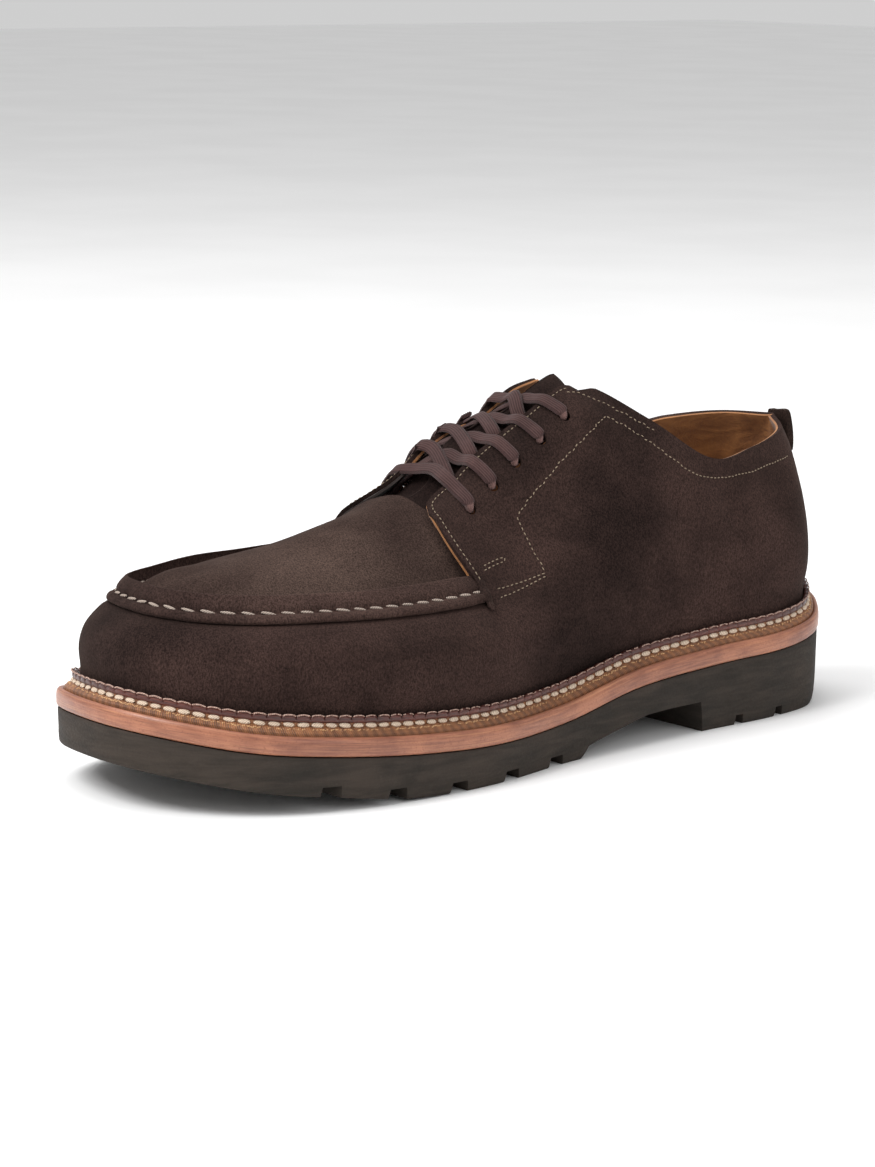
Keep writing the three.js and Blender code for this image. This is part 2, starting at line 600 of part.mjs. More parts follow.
// Heights across the shoe of a rib moved inwards by depth.
function crossHeights(along, depth, half) {
  const lines = SIDES.map((side) => {
    return placed(offsetPoints(liningPoints(along, side), depth, true), along, side);
  });
  const line = [...lines[0], ...lines[1].slice(0, -1).reverse()];
  return Array.from({ length: TONGUE_POINTS }, (_, i) => {
    const x = THROAT_MIDDLE + half * (1 - (2 * i) / (TONGUE_POINTS - 1));
    for (let j = 0; j + 1 < line.length; j++) {
      const share = (x - line[j].x) / (line[j + 1].x - line[j].x);
      if (line[j].z > WAIST_UP * INSTEP && share >= 0 && share <= 1) {
        return new THREE.Vector3(x, line[j].y, line[j].z + (line[j + 1].z - line[j].z) * share);
      }
    }
    return new THREE.Vector3(x, yOf(along), line[0].z);
  });
}
function tongueRow(along, half) {
  const room = THREE.MathUtils.lerp(LACE_ROOM, SLIP, ramp(LEVEL_FROM, LEVEL_TO, along));
  const face = crossHeights(along, WALL + room, half);
  const back = crossHeights(along, WALL + room + TONGUE, half);
  const ends = [face[0], face.at(-1)].map((p, i) => {
    const behind = [back[0], back.at(-1)][i];
    return p.clone().lerp(behind, 0.5).setX(p.x + (i ? -1 : 1) * TONGUE_EDGE * TONGUE);
  });
  return [...face, ends[1], ...back.reverse(), ends[0]];
}
const tongueHalf = (along) => TONGUE_HALF * (along > NARROW_FROM ? NARROW : 1);
const tongueRows = TONGUE_STOPS.map((along) => tongueRow(along, tongueHalf(along)));
const TIP = [ // beyond the last row: share of the length, rise, share of the width
  [0.02, 0.026, 0.9],
  [0.034, 0.043, 0.72],
  [0.042, 0.05, 0.45],
];
const lastRow = tongueRows.at(-1);
const lastMiddle = lastRow.reduce((sum, p) => sum + p.x, 0) / lastRow.length;
for (const [back, rise, width] of TIP) {
  tongueRows.push(lastRow.map((p) => new THREE.Vector3(
    lastMiddle + (p.x - lastMiddle) * width,
    p.y + back * LENGTH,
    p.z + rise * INSTEP,
  )));
}
function capped(rows) {
  const points = rows.flat();
  const count = rows[0].length;
  const faces = weave(rows, true);
  for (const [start, flip] of [[0, true], [points.length - count, false]]) {
    for (let i = 0; i < count / 2 - 1; i++) {
      const [a, b] = [start + i, start + i + 1];
      const [c, d] = [start + count - 2 - i, start + ((count - 1 - i) % count)];
      for (const [p, q, r] of [[a, b, c], [a, c, d]]) faces.push(flip ? [p, r, q] : [p, q, r]);
    }
  }
  return solidOf(points, faces);
}
const tongue = capped(tongueRows);

// Tab at the back
const TAB_HALF = 5;
const TAB_LOW = 0.712; // shares of the instep height
const TAB_HIGH = 0.838;
function backLine(height) {
  const line = placed(ribPoints(0, "lateral", "quarter", false), 0, "lateral");
  const i = Math.max(line.findIndex((p) => p.z >= height), 1);
  if (line.at(-1).z < height) return line.at(-1).y;
  const share = (height - line[i - 1].z) / (line[i].z - line[i - 1].z);
  return line[i - 1].y + (line[i].y - line[i - 1].y) * share;
}
const TAB_SECTION = [ // share of its height, share of its thickness
  [0, 0.35],
  [0.15, 0.85],
  [0.5, 1],
  [0.85, 0.95],
  [1, 0.5],
];
const tabRow = ([up, thick]) => {
  const height = INSTEP * THREE.MathUtils.lerp(TAB_LOW, TAB_HIGH, up);
  const back = backLine(height) + 1.5 * GAP;
  return [[back, height], [back + TAB * thick, height]];
};
const tabRows = TAB_SECTION.map(tabRow);
const tabOutline = [...tabRows.map((row) => row[0]), ...tabRows.map((row) => row[1]).reverse()];
const tab = prism(tabOutline, -TAB_HALF, TAB_HALF, acrossShoe);

// Lace
const LACE_SECTION = [[1, 0], [0.78, 0.5], [-0.78, 0.5], [-1, 0], [-0.78, -0.5], [0.78, -0.5]];
function ribbon(stations) {
  const line = new THREE.CatmullRomCurve3(stations.map((s) => s.at), false, "centripetal");
  const steps = stations.length - 1;
  const rows = [];
  for (let i = 0; i <= steps; i++) {
    const share = i / steps;
    const place = share * (stations.length - 1);
    const k = Math.min(Math.floor(place), stations.length - 2);
    const mix = place - k;
    const across = stations[k].across.clone().lerp(stations[k + 1].across, mix).normalize();
    const tangent = line.getTangent(share);
    const through = tangent.clone().cross(across).normalize();
    const flat = through.clone().cross(tangent).normalize();
    const width = THREE.MathUtils.lerp(stations[k].width, stations[k + 1].width, mix);
    rows.push(LACE_SECTION.map(([u, v]) => line.getPoint(share)
      .addScaledVector(flat, (u * width) / 2)
      .addScaledVector(through, v * LACE_THICK)));
  }
  const points = rows.flat();
  const count = LACE_SECTION.length;
  const faces = weave(rows, true);
  for (const [start, flip] of [[0, true], [points.length - count, false]]) {
    for (let i = 1; i + 1 < count; i++) {
      faces.push(flip ? [start, start + i + 1, start + i] : [start, start + i, start + i + 1]);
    }
  }
  return solidOf(points, faces);
}
const OVER = GAP + 0.5 * LACE_THICK;
// A point of the lace: share of the way from one eyelet to the other, height over the facings.
function lacePoint(from, to, share, height, width = LACE_WIDTH, shift = 0) {
  const x = THREE.MathUtils.lerp(eyeletX[from.side], eyeletX[to.side], share);
  const along = THREE.MathUtils.lerp(from.along, to.along, share) + shift;
  const { point, normal } = facing(x, along);
  const [acrossWay, alongWay] = [eyeletX[to.side] - eyeletX[from.side], yOf(to.along) - yOf(from.along)];
  const ahead = new THREE.Vector3(acrossWay, alongWay, 0);
  return {
    at: point.addScaledVector(normal, height),
    across: normal.clone().cross(ahead).normalize(),
    width,
  };
}
const EDGE_SHARE = EYELET_IN / (2 * (THROAT_HALF + EYELET_IN)); // eyelet to the edge of its facing
const HOLE_WIDTH = 0.45 * LACE_WIDTH;
// Out of the eyelet, over the edge of the facing: share of the way, height, width.
const OUT_OF_HOLE = [
  [0, -0.4 * WALL, HOLE_WIDTH],
  [0.002, 0.6 * OVER, HOLE_WIDTH],
  [0.045, OVER + 0.95, 0.75 * LACE_WIDTH],
  [0.12, OVER + 1.1, LACE_WIDTH],
  [EDGE_SHARE - 0.05, OVER + 0.8, LACE_WIDTH],
  [EDGE_SHARE + 0.025, OVER + 0.5, LACE_WIDTH],
  [EDGE_SHARE + 0.08, OVER - 0.9, LACE_WIDTH],
];
function strap(from, to, middle) {
  const acrossThroat = [ // share of the way, height, width, shift along the shoe
    [0.45, 0.7 * middle, LACE_WIDTH, 0],
    [0.58, middle, LACE_WIDTH, 0],
    [0.94 - EDGE_SHARE, -0.5 * LACE_THICK, LACE_WIDTH, 0.011],
  ];
  return ribbon([...OUT_OF_HOLE, ...acrossThroat].map((row) => lacePoint(from, to, ...row)));
}
function bar(from, to) {
  const near = OUT_OF_HOLE.map((row) => lacePoint(from, to, ...row));
  const far = OUT_OF_HOLE.map((row) => lacePoint(to, from, ...row)).reverse();
  const turned = far.map((station) => ({ ...station, across: station.across.clone().negate() }));
  return ribbon([...near, ...turned]);
}
const eyelet = (side, k) => ({ side, along: EYELETS[k] });
let lace = bar(eyelet("medial", 0), eyelet("lateral", 0));
const [OVER_DIP, UNDER_DIP] = [-1, -1.9]; // how far the crossing straps sink into the throat, in mm
for (let k = 1; k < EYELETS.length; k++) {
  lace = lace.add(strap(eyelet("medial", k), eyelet("lateral", k - 1), OVER_DIP));
  lace = lace.add(strap(eyelet("lateral", k), eyelet("medial", k - 1), UNDER_DIP));
}

// The shoe
const PIECES = [ // name, solid, colour, roughness
  ["outsole", outsole, 0x45403b, 0.75],
  ["midsole", midsole, 0xa8735c, 0.55],
  ["welt", welt, 0x7a3d27, 0.5],
  ["insole", insole, 0x8a6038, 0.8],
  ["upper", upper, 0x3b302c, 0.95],
  ["tongue", tongue, 0x382d2a, 0.95],
  ["heel_tab", tab, 0x352b28, 0.95],
  ["lace", lace, 0x5c4440, 0.7],
];

function meshOf(name, solid, colour, roughness) {
  const { vertProperties, triVerts, numProp } = solid.getMesh();
  const flat = new Float32Array((vertProperties.length / numProp) * 3);
  for (let i = 0; i < flat.length / 3; i++) {
    flat.set(vertProperties.subarray(i * numProp, i * numProp + 3), 3 * i);
  }
  const geometry = new THREE.BufferGeometry();
  geometry.setAttribute("position", new THREE.BufferAttribute(flat, 3));
  geometry.setIndex(new THREE.BufferAttribute(new Uint32Array(triVerts), 1));
  geometry.computeVertexNormals();
  const material = new THREE.MeshStandardMaterial({ color: colour, roughness, metalness: 0 });
  const mesh = new THREE.Mesh(geometry, material);
  mesh.name = name;
  return mesh;
}

const shoe = new THREE.Group();
shoe.add(...PIECES.map((row) => meshOf(...row)));
const bounds = new THREE.Box3().setFromObject(shoe);
const middle = bounds.getCenter(new THREE.Vector3());
shoe.position.set(-middle.x, -middle.y, -bounds.min.z);

const group = new THREE.Group();
group.add(shoe);
export default group;
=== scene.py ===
"""A lace-up shoe for the left foot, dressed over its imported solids."""
import math
import random

import bpy
import numpy as np
from bpy.props import FloatProperty, FloatVectorProperty, IntProperty, PointerProperty
from mathutils import Matrix, Vector
from mathutils.bvhtree import BVHTree


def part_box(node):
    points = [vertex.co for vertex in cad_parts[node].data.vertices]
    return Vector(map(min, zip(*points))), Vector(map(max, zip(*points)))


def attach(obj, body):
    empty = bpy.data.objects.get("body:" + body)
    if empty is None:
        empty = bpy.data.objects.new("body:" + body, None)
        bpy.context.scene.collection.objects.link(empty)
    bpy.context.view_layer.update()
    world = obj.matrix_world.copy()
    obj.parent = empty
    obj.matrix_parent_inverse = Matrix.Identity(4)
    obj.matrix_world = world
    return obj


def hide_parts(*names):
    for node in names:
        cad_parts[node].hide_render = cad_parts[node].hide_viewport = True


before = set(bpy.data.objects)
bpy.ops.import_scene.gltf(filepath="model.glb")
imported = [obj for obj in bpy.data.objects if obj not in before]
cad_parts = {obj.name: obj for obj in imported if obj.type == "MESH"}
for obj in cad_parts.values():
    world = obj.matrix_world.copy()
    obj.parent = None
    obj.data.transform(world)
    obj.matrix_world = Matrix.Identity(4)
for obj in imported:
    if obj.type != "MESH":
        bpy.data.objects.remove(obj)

bl_info = {
    "name": "Lace-up shoe",
    "version": (1, 0, 0),
    "blender": (4, 5, 0),
    "location": "3D View > Sidebar > Shoe",
    "description": "Builds the looks of a suede lace-up shoe over its solids",
    "category": "Add Mesh",
}

MM = 0.001
SHIFT = -0.8767  # mm, from the drawing's middle to the frame's

# Sizes of the drawing, in mm, as in the solids
LENGTH = 306
BALL_WIDTH = 111
HEEL_STACK = 24
TOE_SPRING = 14.4
INSTEP = 120
MIDSOLE = 5.3
WELT_WIDTH = 8
WELT_RISE = 12.3
WALL = 2.3
INSOLE = 3
TONGUE = 3.2
LUG = 3.4
GAP = 0.35
LACE_ROOM = 2.6
SLIP = 1
THROAT_MIDDLE = -4.5
THROAT_HALF = 12
EYELET_IN = 10.5
EYELETS = [0.558, 0.527, 0.495, 0.46, 0.425]
LACE_WIDTH = 4.9
LACE_THICK = 1.3
STEP_AT = 0.584
INNER_SLANT = 0.024
SLANT_SPAN = 0.05
LEVEL_FROM, LEVEL_TO = 0.535, 0.578
SIDES = ("lateral", "medial")
SIGN = {"lateral": 1, "medial": -1}


class Table:
    """Rows under named columns, read by a smooth curve through the first column."""

    def __init__(self, names, rows, key=lambda value: value, scale=1.0):
        self.key = key
        self.keys = [key(row[0] * scale) for row in rows]
        self.columns = {}
        for column, name in enumerate(names[1:], 1):
            values = [row[column] * scale for row in rows]
            self.columns[name] = (values, self.tangents(values))

    def tangents(self, values):
        keys, last = self.keys, len(values) - 1
        steps = [(values[i + 1] - values[i]) / (keys[i + 1] - keys[i]) for i in range(last)]
        slopes = [steps[0]]
        for i in range(1, last):
            before, after = keys[i] - keys[i - 1], keys[i + 1] - keys[i]
            slopes.append((steps[i - 1] * after + steps[i] * before) / (before + after))
        return slopes + [steps[-1]]

    def __call__(self, name, at):
        values, slopes = self.columns[name]
        keys = self.keys
        x = min(max(self.key(at), keys[0]), keys[-1])
        i = 0
        while i < len(keys) - 2 and keys[i + 1] < x:
            i += 1
        span = keys[i + 1] - keys[i]
        t = (x - keys[i]) / span
        rise, fall = slopes[i] * span, slopes[i + 1] * span
        ease = t * t * (3 - 2 * t)
        low, high = values[i], values[i + 1]
        return low + (high - low) * ease + t * (1 - t) * (rise * (1 - t) - fall * t)


def turn_of(along):
    return math.acos(max(-1.0, min(1.0, 1 - 2 * along)))


def share_of(turn):
    return (1 - math.cos(turn)) / 2


OUTLINE = Table(["along", "lateral", "medial"], [
    (0, 0, 0),
    (0.03, 0.191, 0.189),
    (0.08, 0.314, 0.297),
    (0.16, 0.368, 0.347),
    (0.26, 0.379, 0.342),
    (0.38, 0.394, 0.311),
    (0.5, 0.438, 0.32),
    (0.62, 0.508, 0.387),
    (0.72, 0.519, 0.464),
    (0.82, 0.489, 0.505),
    (0.9, 0.408, 0.454),
    (0.96, 0.273, 0.362),
    (1, 0, 0),
], turn_of)
STACK = Table(["along", "height"], [
    (0, 1.238),
    (0.12, 1.012),
    (0.25, 0.946),
    (0.38, 0.825),
    (0.5, 0.579),
    (0.62, 0.546),
    (0.72, 0.612),
    (0.82, 0.725),
    (0.91, 0.854),
    (1, 1.092),
])
SPRING = Table(["along", "height"], [
    (0, 0),
    (0.66, 0),
    (0.74, 0.069),
    (0.82, 0.299),
    (0.9, 0.528),
    (0.96, 0.799),
    (1, 1),
])
WELT = Table(["along", "lateral", "medial"], [
    (0, 0.69, 0.69),
    (0.1, 0.76, 0.72),
    (0.3, 0.92, 0.72),
    (0.5, 1, 0.74),
    (0.7, 1, 0.95),
    (0.9, 1, 1),
    (1, 0.94, 0.94),
])
RIB_COLUMNS = [
    "along", "bulgeIn", "bulgeUp", "wallIn", "wallUp", "edgeIn", "edgeUp", "ridgeIn", "ridgeUp",
    "baseIn", "baseUp", "crownIn", "crownUp", "topOut", "topAlong", "topUp",
]
LATERAL_QUARTER = Table(RIB_COLUMNS, [
    (0, -1.6, 12.2, -1.1, 29.6, 0.7, 48.7, 2.9, 66.1, 4, 74.8, 5.4, 87.8, 0, 4.2, 82.9),
    (8, -1.6, 18.5, -1.4, 37.3, 0.9, 57.7, 4.5, 74.8, 5.9, 80.7, 8.6, 90.1, 15.3, 8.5, 80.7),
    (16, -1.6, 21.2, -1.2, 42.1, 1.1, 62.9, 4.1, 78.6, 5, 83.8, 6.8, 91.6, 22.5, 15.4, 77.8),
    (25, -1.8, 20.9, -1.8, 41.9, -0.3, 62.8, 2, 78.5, 2.7, 83.8, 4.3, 91.6, 26.6, 23.9, 76.9),
    (33, -2, 15.6, -2.3, 33.3, -0.9, 51, 2.3, 68.7, 3.6, 74.8, 7.7, 88.4, 19.8, 31.4, 89.2),
    (37, -2.3, 13.7, -2.5, 29.2, -0.5, 46.5, 4.5, 64.9, 6.8, 72.6, 13.1, 88.7, 10.8, 35.9, 97.1),
    (41, -2.7, 13.6, -2.7, 28.1, 0.5, 43, 7.2, 62.5, 9.9, 70.2, 17.1, 88.6, 2.7, 39.9, 100.7),
    (45, -2.7, 14.4, -2.3, 29.3, 2.3, 43.7, 9.9, 62.1, 12.6, 69, 20.3, 87.9, -2.7, 44.8, 96.2),
    (50, -2.7, 14.8, -1.8, 28.6, 4.1, 42.4, 12.2, 59.8, 14.9, 65.4, 23, 84.4, -5.4, 50, 91.2),
    (55, -2.7, 13.9, -1.4, 27.6, 5.9, 41.9, 13.5, 56.9, 16.2, 62.2, 26.1, 81.1, -7.7, 54.9, 85),
    (58.4, -2.7, 14.7, -0.9, 29.7, 7, 44.5, 13.8, 58.4, 16.2, 62.7, 27.5, 79.2, -8.1, 58.4, 79.2),
], scale=0.01)
LATERAL_VAMP = Table(RIB_COLUMNS, [
    (58.4, -2.7, 16.3, -0.9, 33.1, 7, 49.5, 13.8, 59.7, 15.1, 53.8, 27.9, 82.5, -4.5, 58.4, 73.3),
    (62, -2.7, 16.2, -0.9, 34.7, 7.2, 51.5, 14, 63.3, 15.3, 56.6, 28.8, 81.8, -2.7, 62.1, 70.7),
    (68, -2.6, 17, -0.8, 37.1, 7.4, 54.4, 14.1, 67.2, 15.5, 59.9, 28.8, 82.7, -0.9, 68, 67.5),
    (74, -2.5, 17.4, -0.7, 39.8, 7.4, 59.2, 14, 73.1, 15.3, 64.9, 28.8, 85.3, 0, 74, 63.7),
    (80, -2.3, 20.1, -0.5, 45, 7.2, 63.6, 13.5, 79, 15, 69.9, 27, 88, 0, 78.4, 61.1),
    (86, -1.8, 22.3, 0, 47.9, 7.4, 65.3, 13.5, 82.2, 14.9, 72.4, 26.1, 89.5, 0, 81.4, 59.8),
    (92, -1.1, 25.7, 0.7, 48.2, 7.9, 65, 13.5, 83.8, 14.9, 73.2, 25.2, 90.2, 0, 82.7, 59.2),
    (97, -0.5, 23.3, 1.4, 44.6, 8.3, 63.8, 13.3, 84.3, 14.8, 72, 25.2, 90.7, 0, 83.3, 59),
    (100, -0.5, 21.7, 1.4, 42.5, 8.4, 63.7, 13.3, 85.4, 14.9, 72.4, 25.2, 91, 0, 83.7, 58.9),
], scale=0.01)
MEDIAL_QUARTER = Table(RIB_COLUMNS, [
    (0, -1.6, 12.2, -1.1, 29.6, 0.7, 48.7, 2.9, 66.1, 4, 74.8, 5.4, 87.8, 0, 4.2, 82.9),
    (8, -1.6, 17.7, -1.1, 35.6, 1.4, 55.1, 4.5, 71.4, 5.7, 78.7, 8.1, 89.3, 14, 8.2, 83),
    (16, -1.6, 19.3, -0.9, 38.4, 1.6, 57.4, 4.5, 74.1, 5.4, 80.5, 7.7, 90, 19.4, 15, 82.3),
    (25, -2.3, 19.8, -2.5, 39.6, -1.1, 59.4, 1.4, 77.6, 2.2, 84.2, 3.6, 91.6, 23.9, 23.5, 79.7),
    (33, -3.6, 15.5, -5, 33.1, -4.1, 50.6, -1.4, 68.2, 0, 75.7, 3.6, 89.9, 20.3, 31, 89.6),
    (37, -4.5, 13.4, -6.3, 28.4, -5.4, 44.6, -1.4, 63.2, 0.9, 70.7, 6.3, 88.1, 14.4, 36.6, 99),
    (41, -5.4, 13.4, -7.7, 27.5, -6.8, 42.7, -1.8, 60.7, 0.9, 69.4, 9, 89, 8.1, 40.2, 102.2),
    (45, -6.3, 14.4, -9, 29.3, -7.7, 44.3, -2.3, 63.2, 0.5, 70.7, 11.3, 91.4, 2.7, 44.8, 96.2),
    (50, -6.3, 15.4, -9.5, 28.6, -8.1, 43, -2.3, 61.6, 0.5, 68.8, 11.3, 91.6, 5.4, 50, 91.2),
    (55, -5.9, 15.2, -9, 28.2, -6.8, 42.6, 0.5, 60.2, 3.2, 67.4, 13.5, 90.9, 7.7, 54.9, 85),
    (58.4, -5.4, 15.4, -7.7, 29.7, -3.6, 48.4, 4.5, 65.6, 7.2, 72, 16.2, 89.2, 8.1, 58.4, 79.2),
], scale=0.01)
MEDIAL_VAMP = Table(RIB_COLUMNS, [
    (58.4, -5.4, 17.1, -7.7, 33.1, -3.6, 53.8, 4.1, 71, 5.4, 64.9, 14, 89.6, 4.5, 58.4, 73.3),
    (62, -4.5, 17.8, -5.9, 34.7, -1.4, 56.6, 5.4, 73.4, 6.8, 66.7, 16.7, 88.6, 2.7, 62.1, 70.7),
    (68, -3.6, 19.7, -4.1, 38, 1.8, 59.9, 8.4, 75.9, 9.7, 68.3, 21.6, 88.1, 0.9, 68, 67.5),
    (74, -3.2, 21.5, -2.7, 41.9, 4.5, 64.3, 11.3, 81.2, 12.6, 72.5, 25.2, 89.4, 0, 74, 63.7),
    (80, -2.2, 22.4, -0.9, 45.7, 6.7, 67.7, 13.2, 85.7, 14.4, 76.5, 27, 91.4, 0, 78.4, 61.1),
    (86, -1.1, 24.7, 0.5, 46.7, 7.7, 67.5, 13.5, 86.3, 15, 76, 27, 91.7, 0, 81.4, 59.8),
    (92, -0.4, 25.7, 1.5, 45.1, 8.4, 66.6, 13.3, 85.9, 14.8, 74.8, 26.1, 91.8, 0, 82.7, 59.2),
    (97, -0.4, 21.9, 1.6, 42.3, 8.4, 64.4, 13.3, 84.8, 14.8, 72.6, 25.2, 91.3, 0, 83.3, 59),
    (100, -0.5, 21.7, 1.4, 42.5, 8.4, 63.7, 13.3, 85.4, 14.9, 72.4, 25.2, 91, 0, 83.7, 58.9),
], scale=0.01)
SHAPES = {
    "lateral": {"quarter": LATERAL_QUARTER, "vamp": LATERAL_VAMP},
    "medial": {"quarter": MEDIAL_QUARTER, "vamp": MEDIAL_VAMP},
}


# The drawing's curves: share along from the heel, side, height
def stack_at(along):
    return HEEL_STACK * STACK("height", along)


def ground_at(along):
    return TOE_SPRING * max(SPRING("height", along), 0)


def y_of(along):
    return LENGTH * (0.5 - along)


def along_of(y):
    return 0.5 - y / LENGTH


def edge_point(along, side):
    return np.array([SIGN[side] * BALL_WIDTH * OUTLINE(side, along), y_of(along)])


def inset_point(turn, side, inset):
    """A point set in from the edge of the sole, square to it."""
    ends = []
    for at in (turn - 0.02, turn + 0.02):
        mirrored = at < 0 or at > math.pi
        other = "medial" if side == "lateral" else "lateral"
        ends.append(edge_point(share_of(at), other if mirrored else side))
    way = ends[1] - ends[0]
    way /= np.linalg.norm(way)
    return edge_point(share_of(turn), side) + SIGN[side] * inset * np.array([way[1], -way[0]])


def welt_width(along, side):
    return WELT_WIDTH * WELT(side, along)


def foot_along(along, side):
    if side == "lateral":
        return along
    return along + INNER_SLANT * math.exp(-(((along - STEP_AT) / SLANT_SPAN) ** 2))


def smooth(low, high, at):
    t = min(max((at - low) / (high - low), 0.0), 1.0)
    return t * t * (3 - 2 * t)


def spline(points, counts):
    """A centripetal curve through points, with the given number of steps in each span."""
    pts = [np.asarray(p, float) for p in points]
    pts = [2 * pts[0] - pts[1]] + pts + [2 * pts[-1] - pts[-2]]
    made = [pts[1]]
    for k, count in enumerate(counts):
        a, b, c, d = pts[k:k + 4]
        gaps = [max(np.linalg.norm(q - p), 1e-4) ** 0.5 for p, q in ((a, b), (b, c), (c, d))]
        leave = (b - a) / gaps[0] - (c - a) / (gaps[0] + gaps[1]) + (c - b) / gaps[1]
        arrive = (c - b) / gaps[1] - (d - b) / (gaps[1] + gaps[2]) + (d - c) / gaps[2]
        leave, arrive = leave * gaps[1], arrive * gaps[1]
        for j in range(1, count + 1):
            t = j / count
            rise = (2 * b - 2 * c + leave + arrive) * t ** 3
            made.append(b + leave * t + (3 * c - 3 * b - 2 * leave - arrive) * t * t + rise)
    return np.array(made)


LOW_STEPS = [2, 4, 7, 9]  # steps of a rib from its foot to the raw edge
HIGH_STEPS = [8, 6, 12, 12]  # and from there to its top


# The facings' fronts, where they lie otherwise than their solids; mm and shares along
FLAP_REACH, FLAP_REACH_SPAN = 5.0, 0.035  # how far the front edge bows forward
FLAP_DROOP, DROOP_WIDE = 2.6, 10  # how far the front corner bends down, and how far in
DROOP_FROM, DROOP_TO = 0.53, 0.58
FAR_DROP, FAR_DROP_AT, FAR_DROP_SPAN = 3.0, 0.565, 0.04  # how much lower the inner one lies
CORNER_ROUND, CORNER_AT = 5, 4.6  # the round of the front corner, and how far back it starts
BACK_CORNERS = {"lateral": (0.4, 0.014), "medial": (0.372, 0.01)}  # where they start, how long
BACK_CORNER_SWEEP = 260
THROAT_BACK = 0.34


class Rib:
    """One section of the upper, from the welt to its top edge."""

    def __init__(self, along, side, part):
        shape = SHAPES[side][part]
        at = foot_along(along, side)
        self.along, self.side = along, side
        self.foot = inset_point(turn_of(at), side, welt_width(at, side))
        out = SIGN[side] * BALL_WIDTH * shape("topOut", along)
        top = np.array([out, y_of(shape("topAlong", along))])
        self.span = np.linalg.norm(top - self.foot)
        self.inwards = (top - self.foot) / self.span
        floor = stack_at(at)
        low, high = floor + WELT_RISE, INSTEP * shape("topUp", along)
        self.points = [np.array([0, floor + MIDSOLE + 1.4 * GAP]), np.array([0, low])]
        for name in ("bulge", "wall", "edge", "ridge", "base", "crown"):
            rise = low + (high - low) * shape(name + "Up", along)
            self.points.append(np.array([BALL_WIDTH * shape(name + "In", along), rise]))
        self.points.append(np.array([self.span, high]))
        if side == "medial" and part == "quarter":
            drop = FAR_DROP * math.exp(-(((along - FAR_DROP_AT) / FAR_DROP_SPAN) ** 2))
            self.points[7][1] -= drop
            self.points[8][1] -= 1.3 * drop

    def place(self, flat):
        flat = np.atleast_2d(flat)
        plan = self.foot + flat[:, :1] * self.inwards
        return np.column_stack([plan, flat[:, 1]])

    def smooth_points(self):
        points = list(self.points)
        points[5] = (points[4] + points[6]) / 2
        return points


def lining_line(along, side):
    """The inner face's form: it drops to the level of the vamp near the front of the facings."""
    if along >= STEP_AT:
        rib = Rib(along, side, "vamp")
        return rib, spline(rib.smooth_points(), LOW_STEPS + HIGH_STEPS)
    rib = Rib(along, side, "quarter")
    line = spline(rib.points, LOW_STEPS + HIGH_STEPS)
    share = smooth(LEVEL_FROM, LEVEL_TO, along)
    if share:
        upper = spline(Rib(STEP_AT, side, "quarter").points, LOW_STEPS + HIGH_STEPS)
        front = Rib(STEP_AT, side, "vamp")
        line = line + share * (spline(front.smooth_points(), LOW_STEPS + HIGH_STEPS) - upper)
    return rib, line


def resample(line, count):
    """The same line with count points, evenly spaced."""
    line = np.asarray(line, float)
    lengths = np.r_[0, np.cumsum(np.linalg.norm(np.diff(line, axis=0), axis=1))]
    at = np.linspace(0, lengths[-1], count)
    return np.column_stack([np.interp(at, lengths, line[:, k]) for k in range(line.shape[1])])


def length_of(line):
    return float(np.linalg.norm(np.diff(np.asarray(line), axis=0), axis=1).sum())


def throat_edge(along, side, extra=0.0):
    """x of the edge of a facing, in mm, with its rounded corners."""
    half = THROAT_HALF - extra
    front = along * LENGTH - (STEP_AT * LENGTH - CORNER_AT)
    if front > 0:
        half += CORNER_ROUND * (1 - math.sqrt(max(0, 1 - (front / CORNER_ROUND) ** 2)))
    corner, reach = BACK_CORNERS[side]
    back = (corner - along) / reach
    if back > 0:
        half += reach * BACK_CORNER_SWEEP * (1 - math.sqrt(max(0, 1 - min(back, 1) ** 2)))
    return THROAT_MIDDLE + SIGN[side] * half


def trim(line, side, extra=0.0):
    """A placed rib, cut where it reaches the throat."""
    sign = SIGN[side]
    for i in range(1, len(line)):
        now = sign * (line[i][0] - throat_edge(along_of(line[i][1]), side, extra))
        if now < 0 and along_of(line[i][1]) > THROAT_BACK:
            was = sign * (line[i - 1][0] - throat_edge(along_of(line[i - 1][1]), side, extra))
            share = was / (was - now) if was > now else 0
            return np.vstack([line[:i], line[i - 1] + share * (line[i] - line[i - 1])])
    return line


# Creases and swellings worked in: side, middle (share along, share up a rib), half sizes
# in shares, slant, depth in mm outwards
SOFT_FORMS = [
    ("both", 0.10, 0.62, 0.050, 0.20, 0.00, 0.45),
    ("both", 0.22, 0.52, 0.014, 0.24, 0.05, -0.45),
    ("both", 0.255, 0.56, 0.018, 0.22, 0.06, 0.4),
    ("both", 0.30, 0.44, 0.012, 0.20, 0.08, -0.4),
    ("both", 0.345, 0.50, 0.020, 0.22, 0.07, 0.35),
    ("both", 0.43, 0.34, 0.022, 0.12, -0.05, -0.5),
    ("both", 0.475, 0.46, 0.026, 0.14, 0.04, 0.4),
    ("lateral", 0.555, 0.38, 0.018, 0.10, 0.00, -0.4),
    ("both", 0.63, 0.26, 0.03, 0.10, 0.00, -0.35),
    ("both", 0.70, 0.24, 0.03, 0.14, 0.00, 0.35),
    ("lateral", 0.80, 0.22, 0.03, 0.12, 0.00, -0.3),
]


def soft_form(side, along, up):
    depth = 0.0
    for name, a, b, wide, tall, slant, out in SOFT_FORMS:
        if name in ("both", side):
            u = (along - a - slant * (up - b)) / wide
            v = (up - b) / tall
            depth += out * math.exp(-u * u - v * v)
    return depth


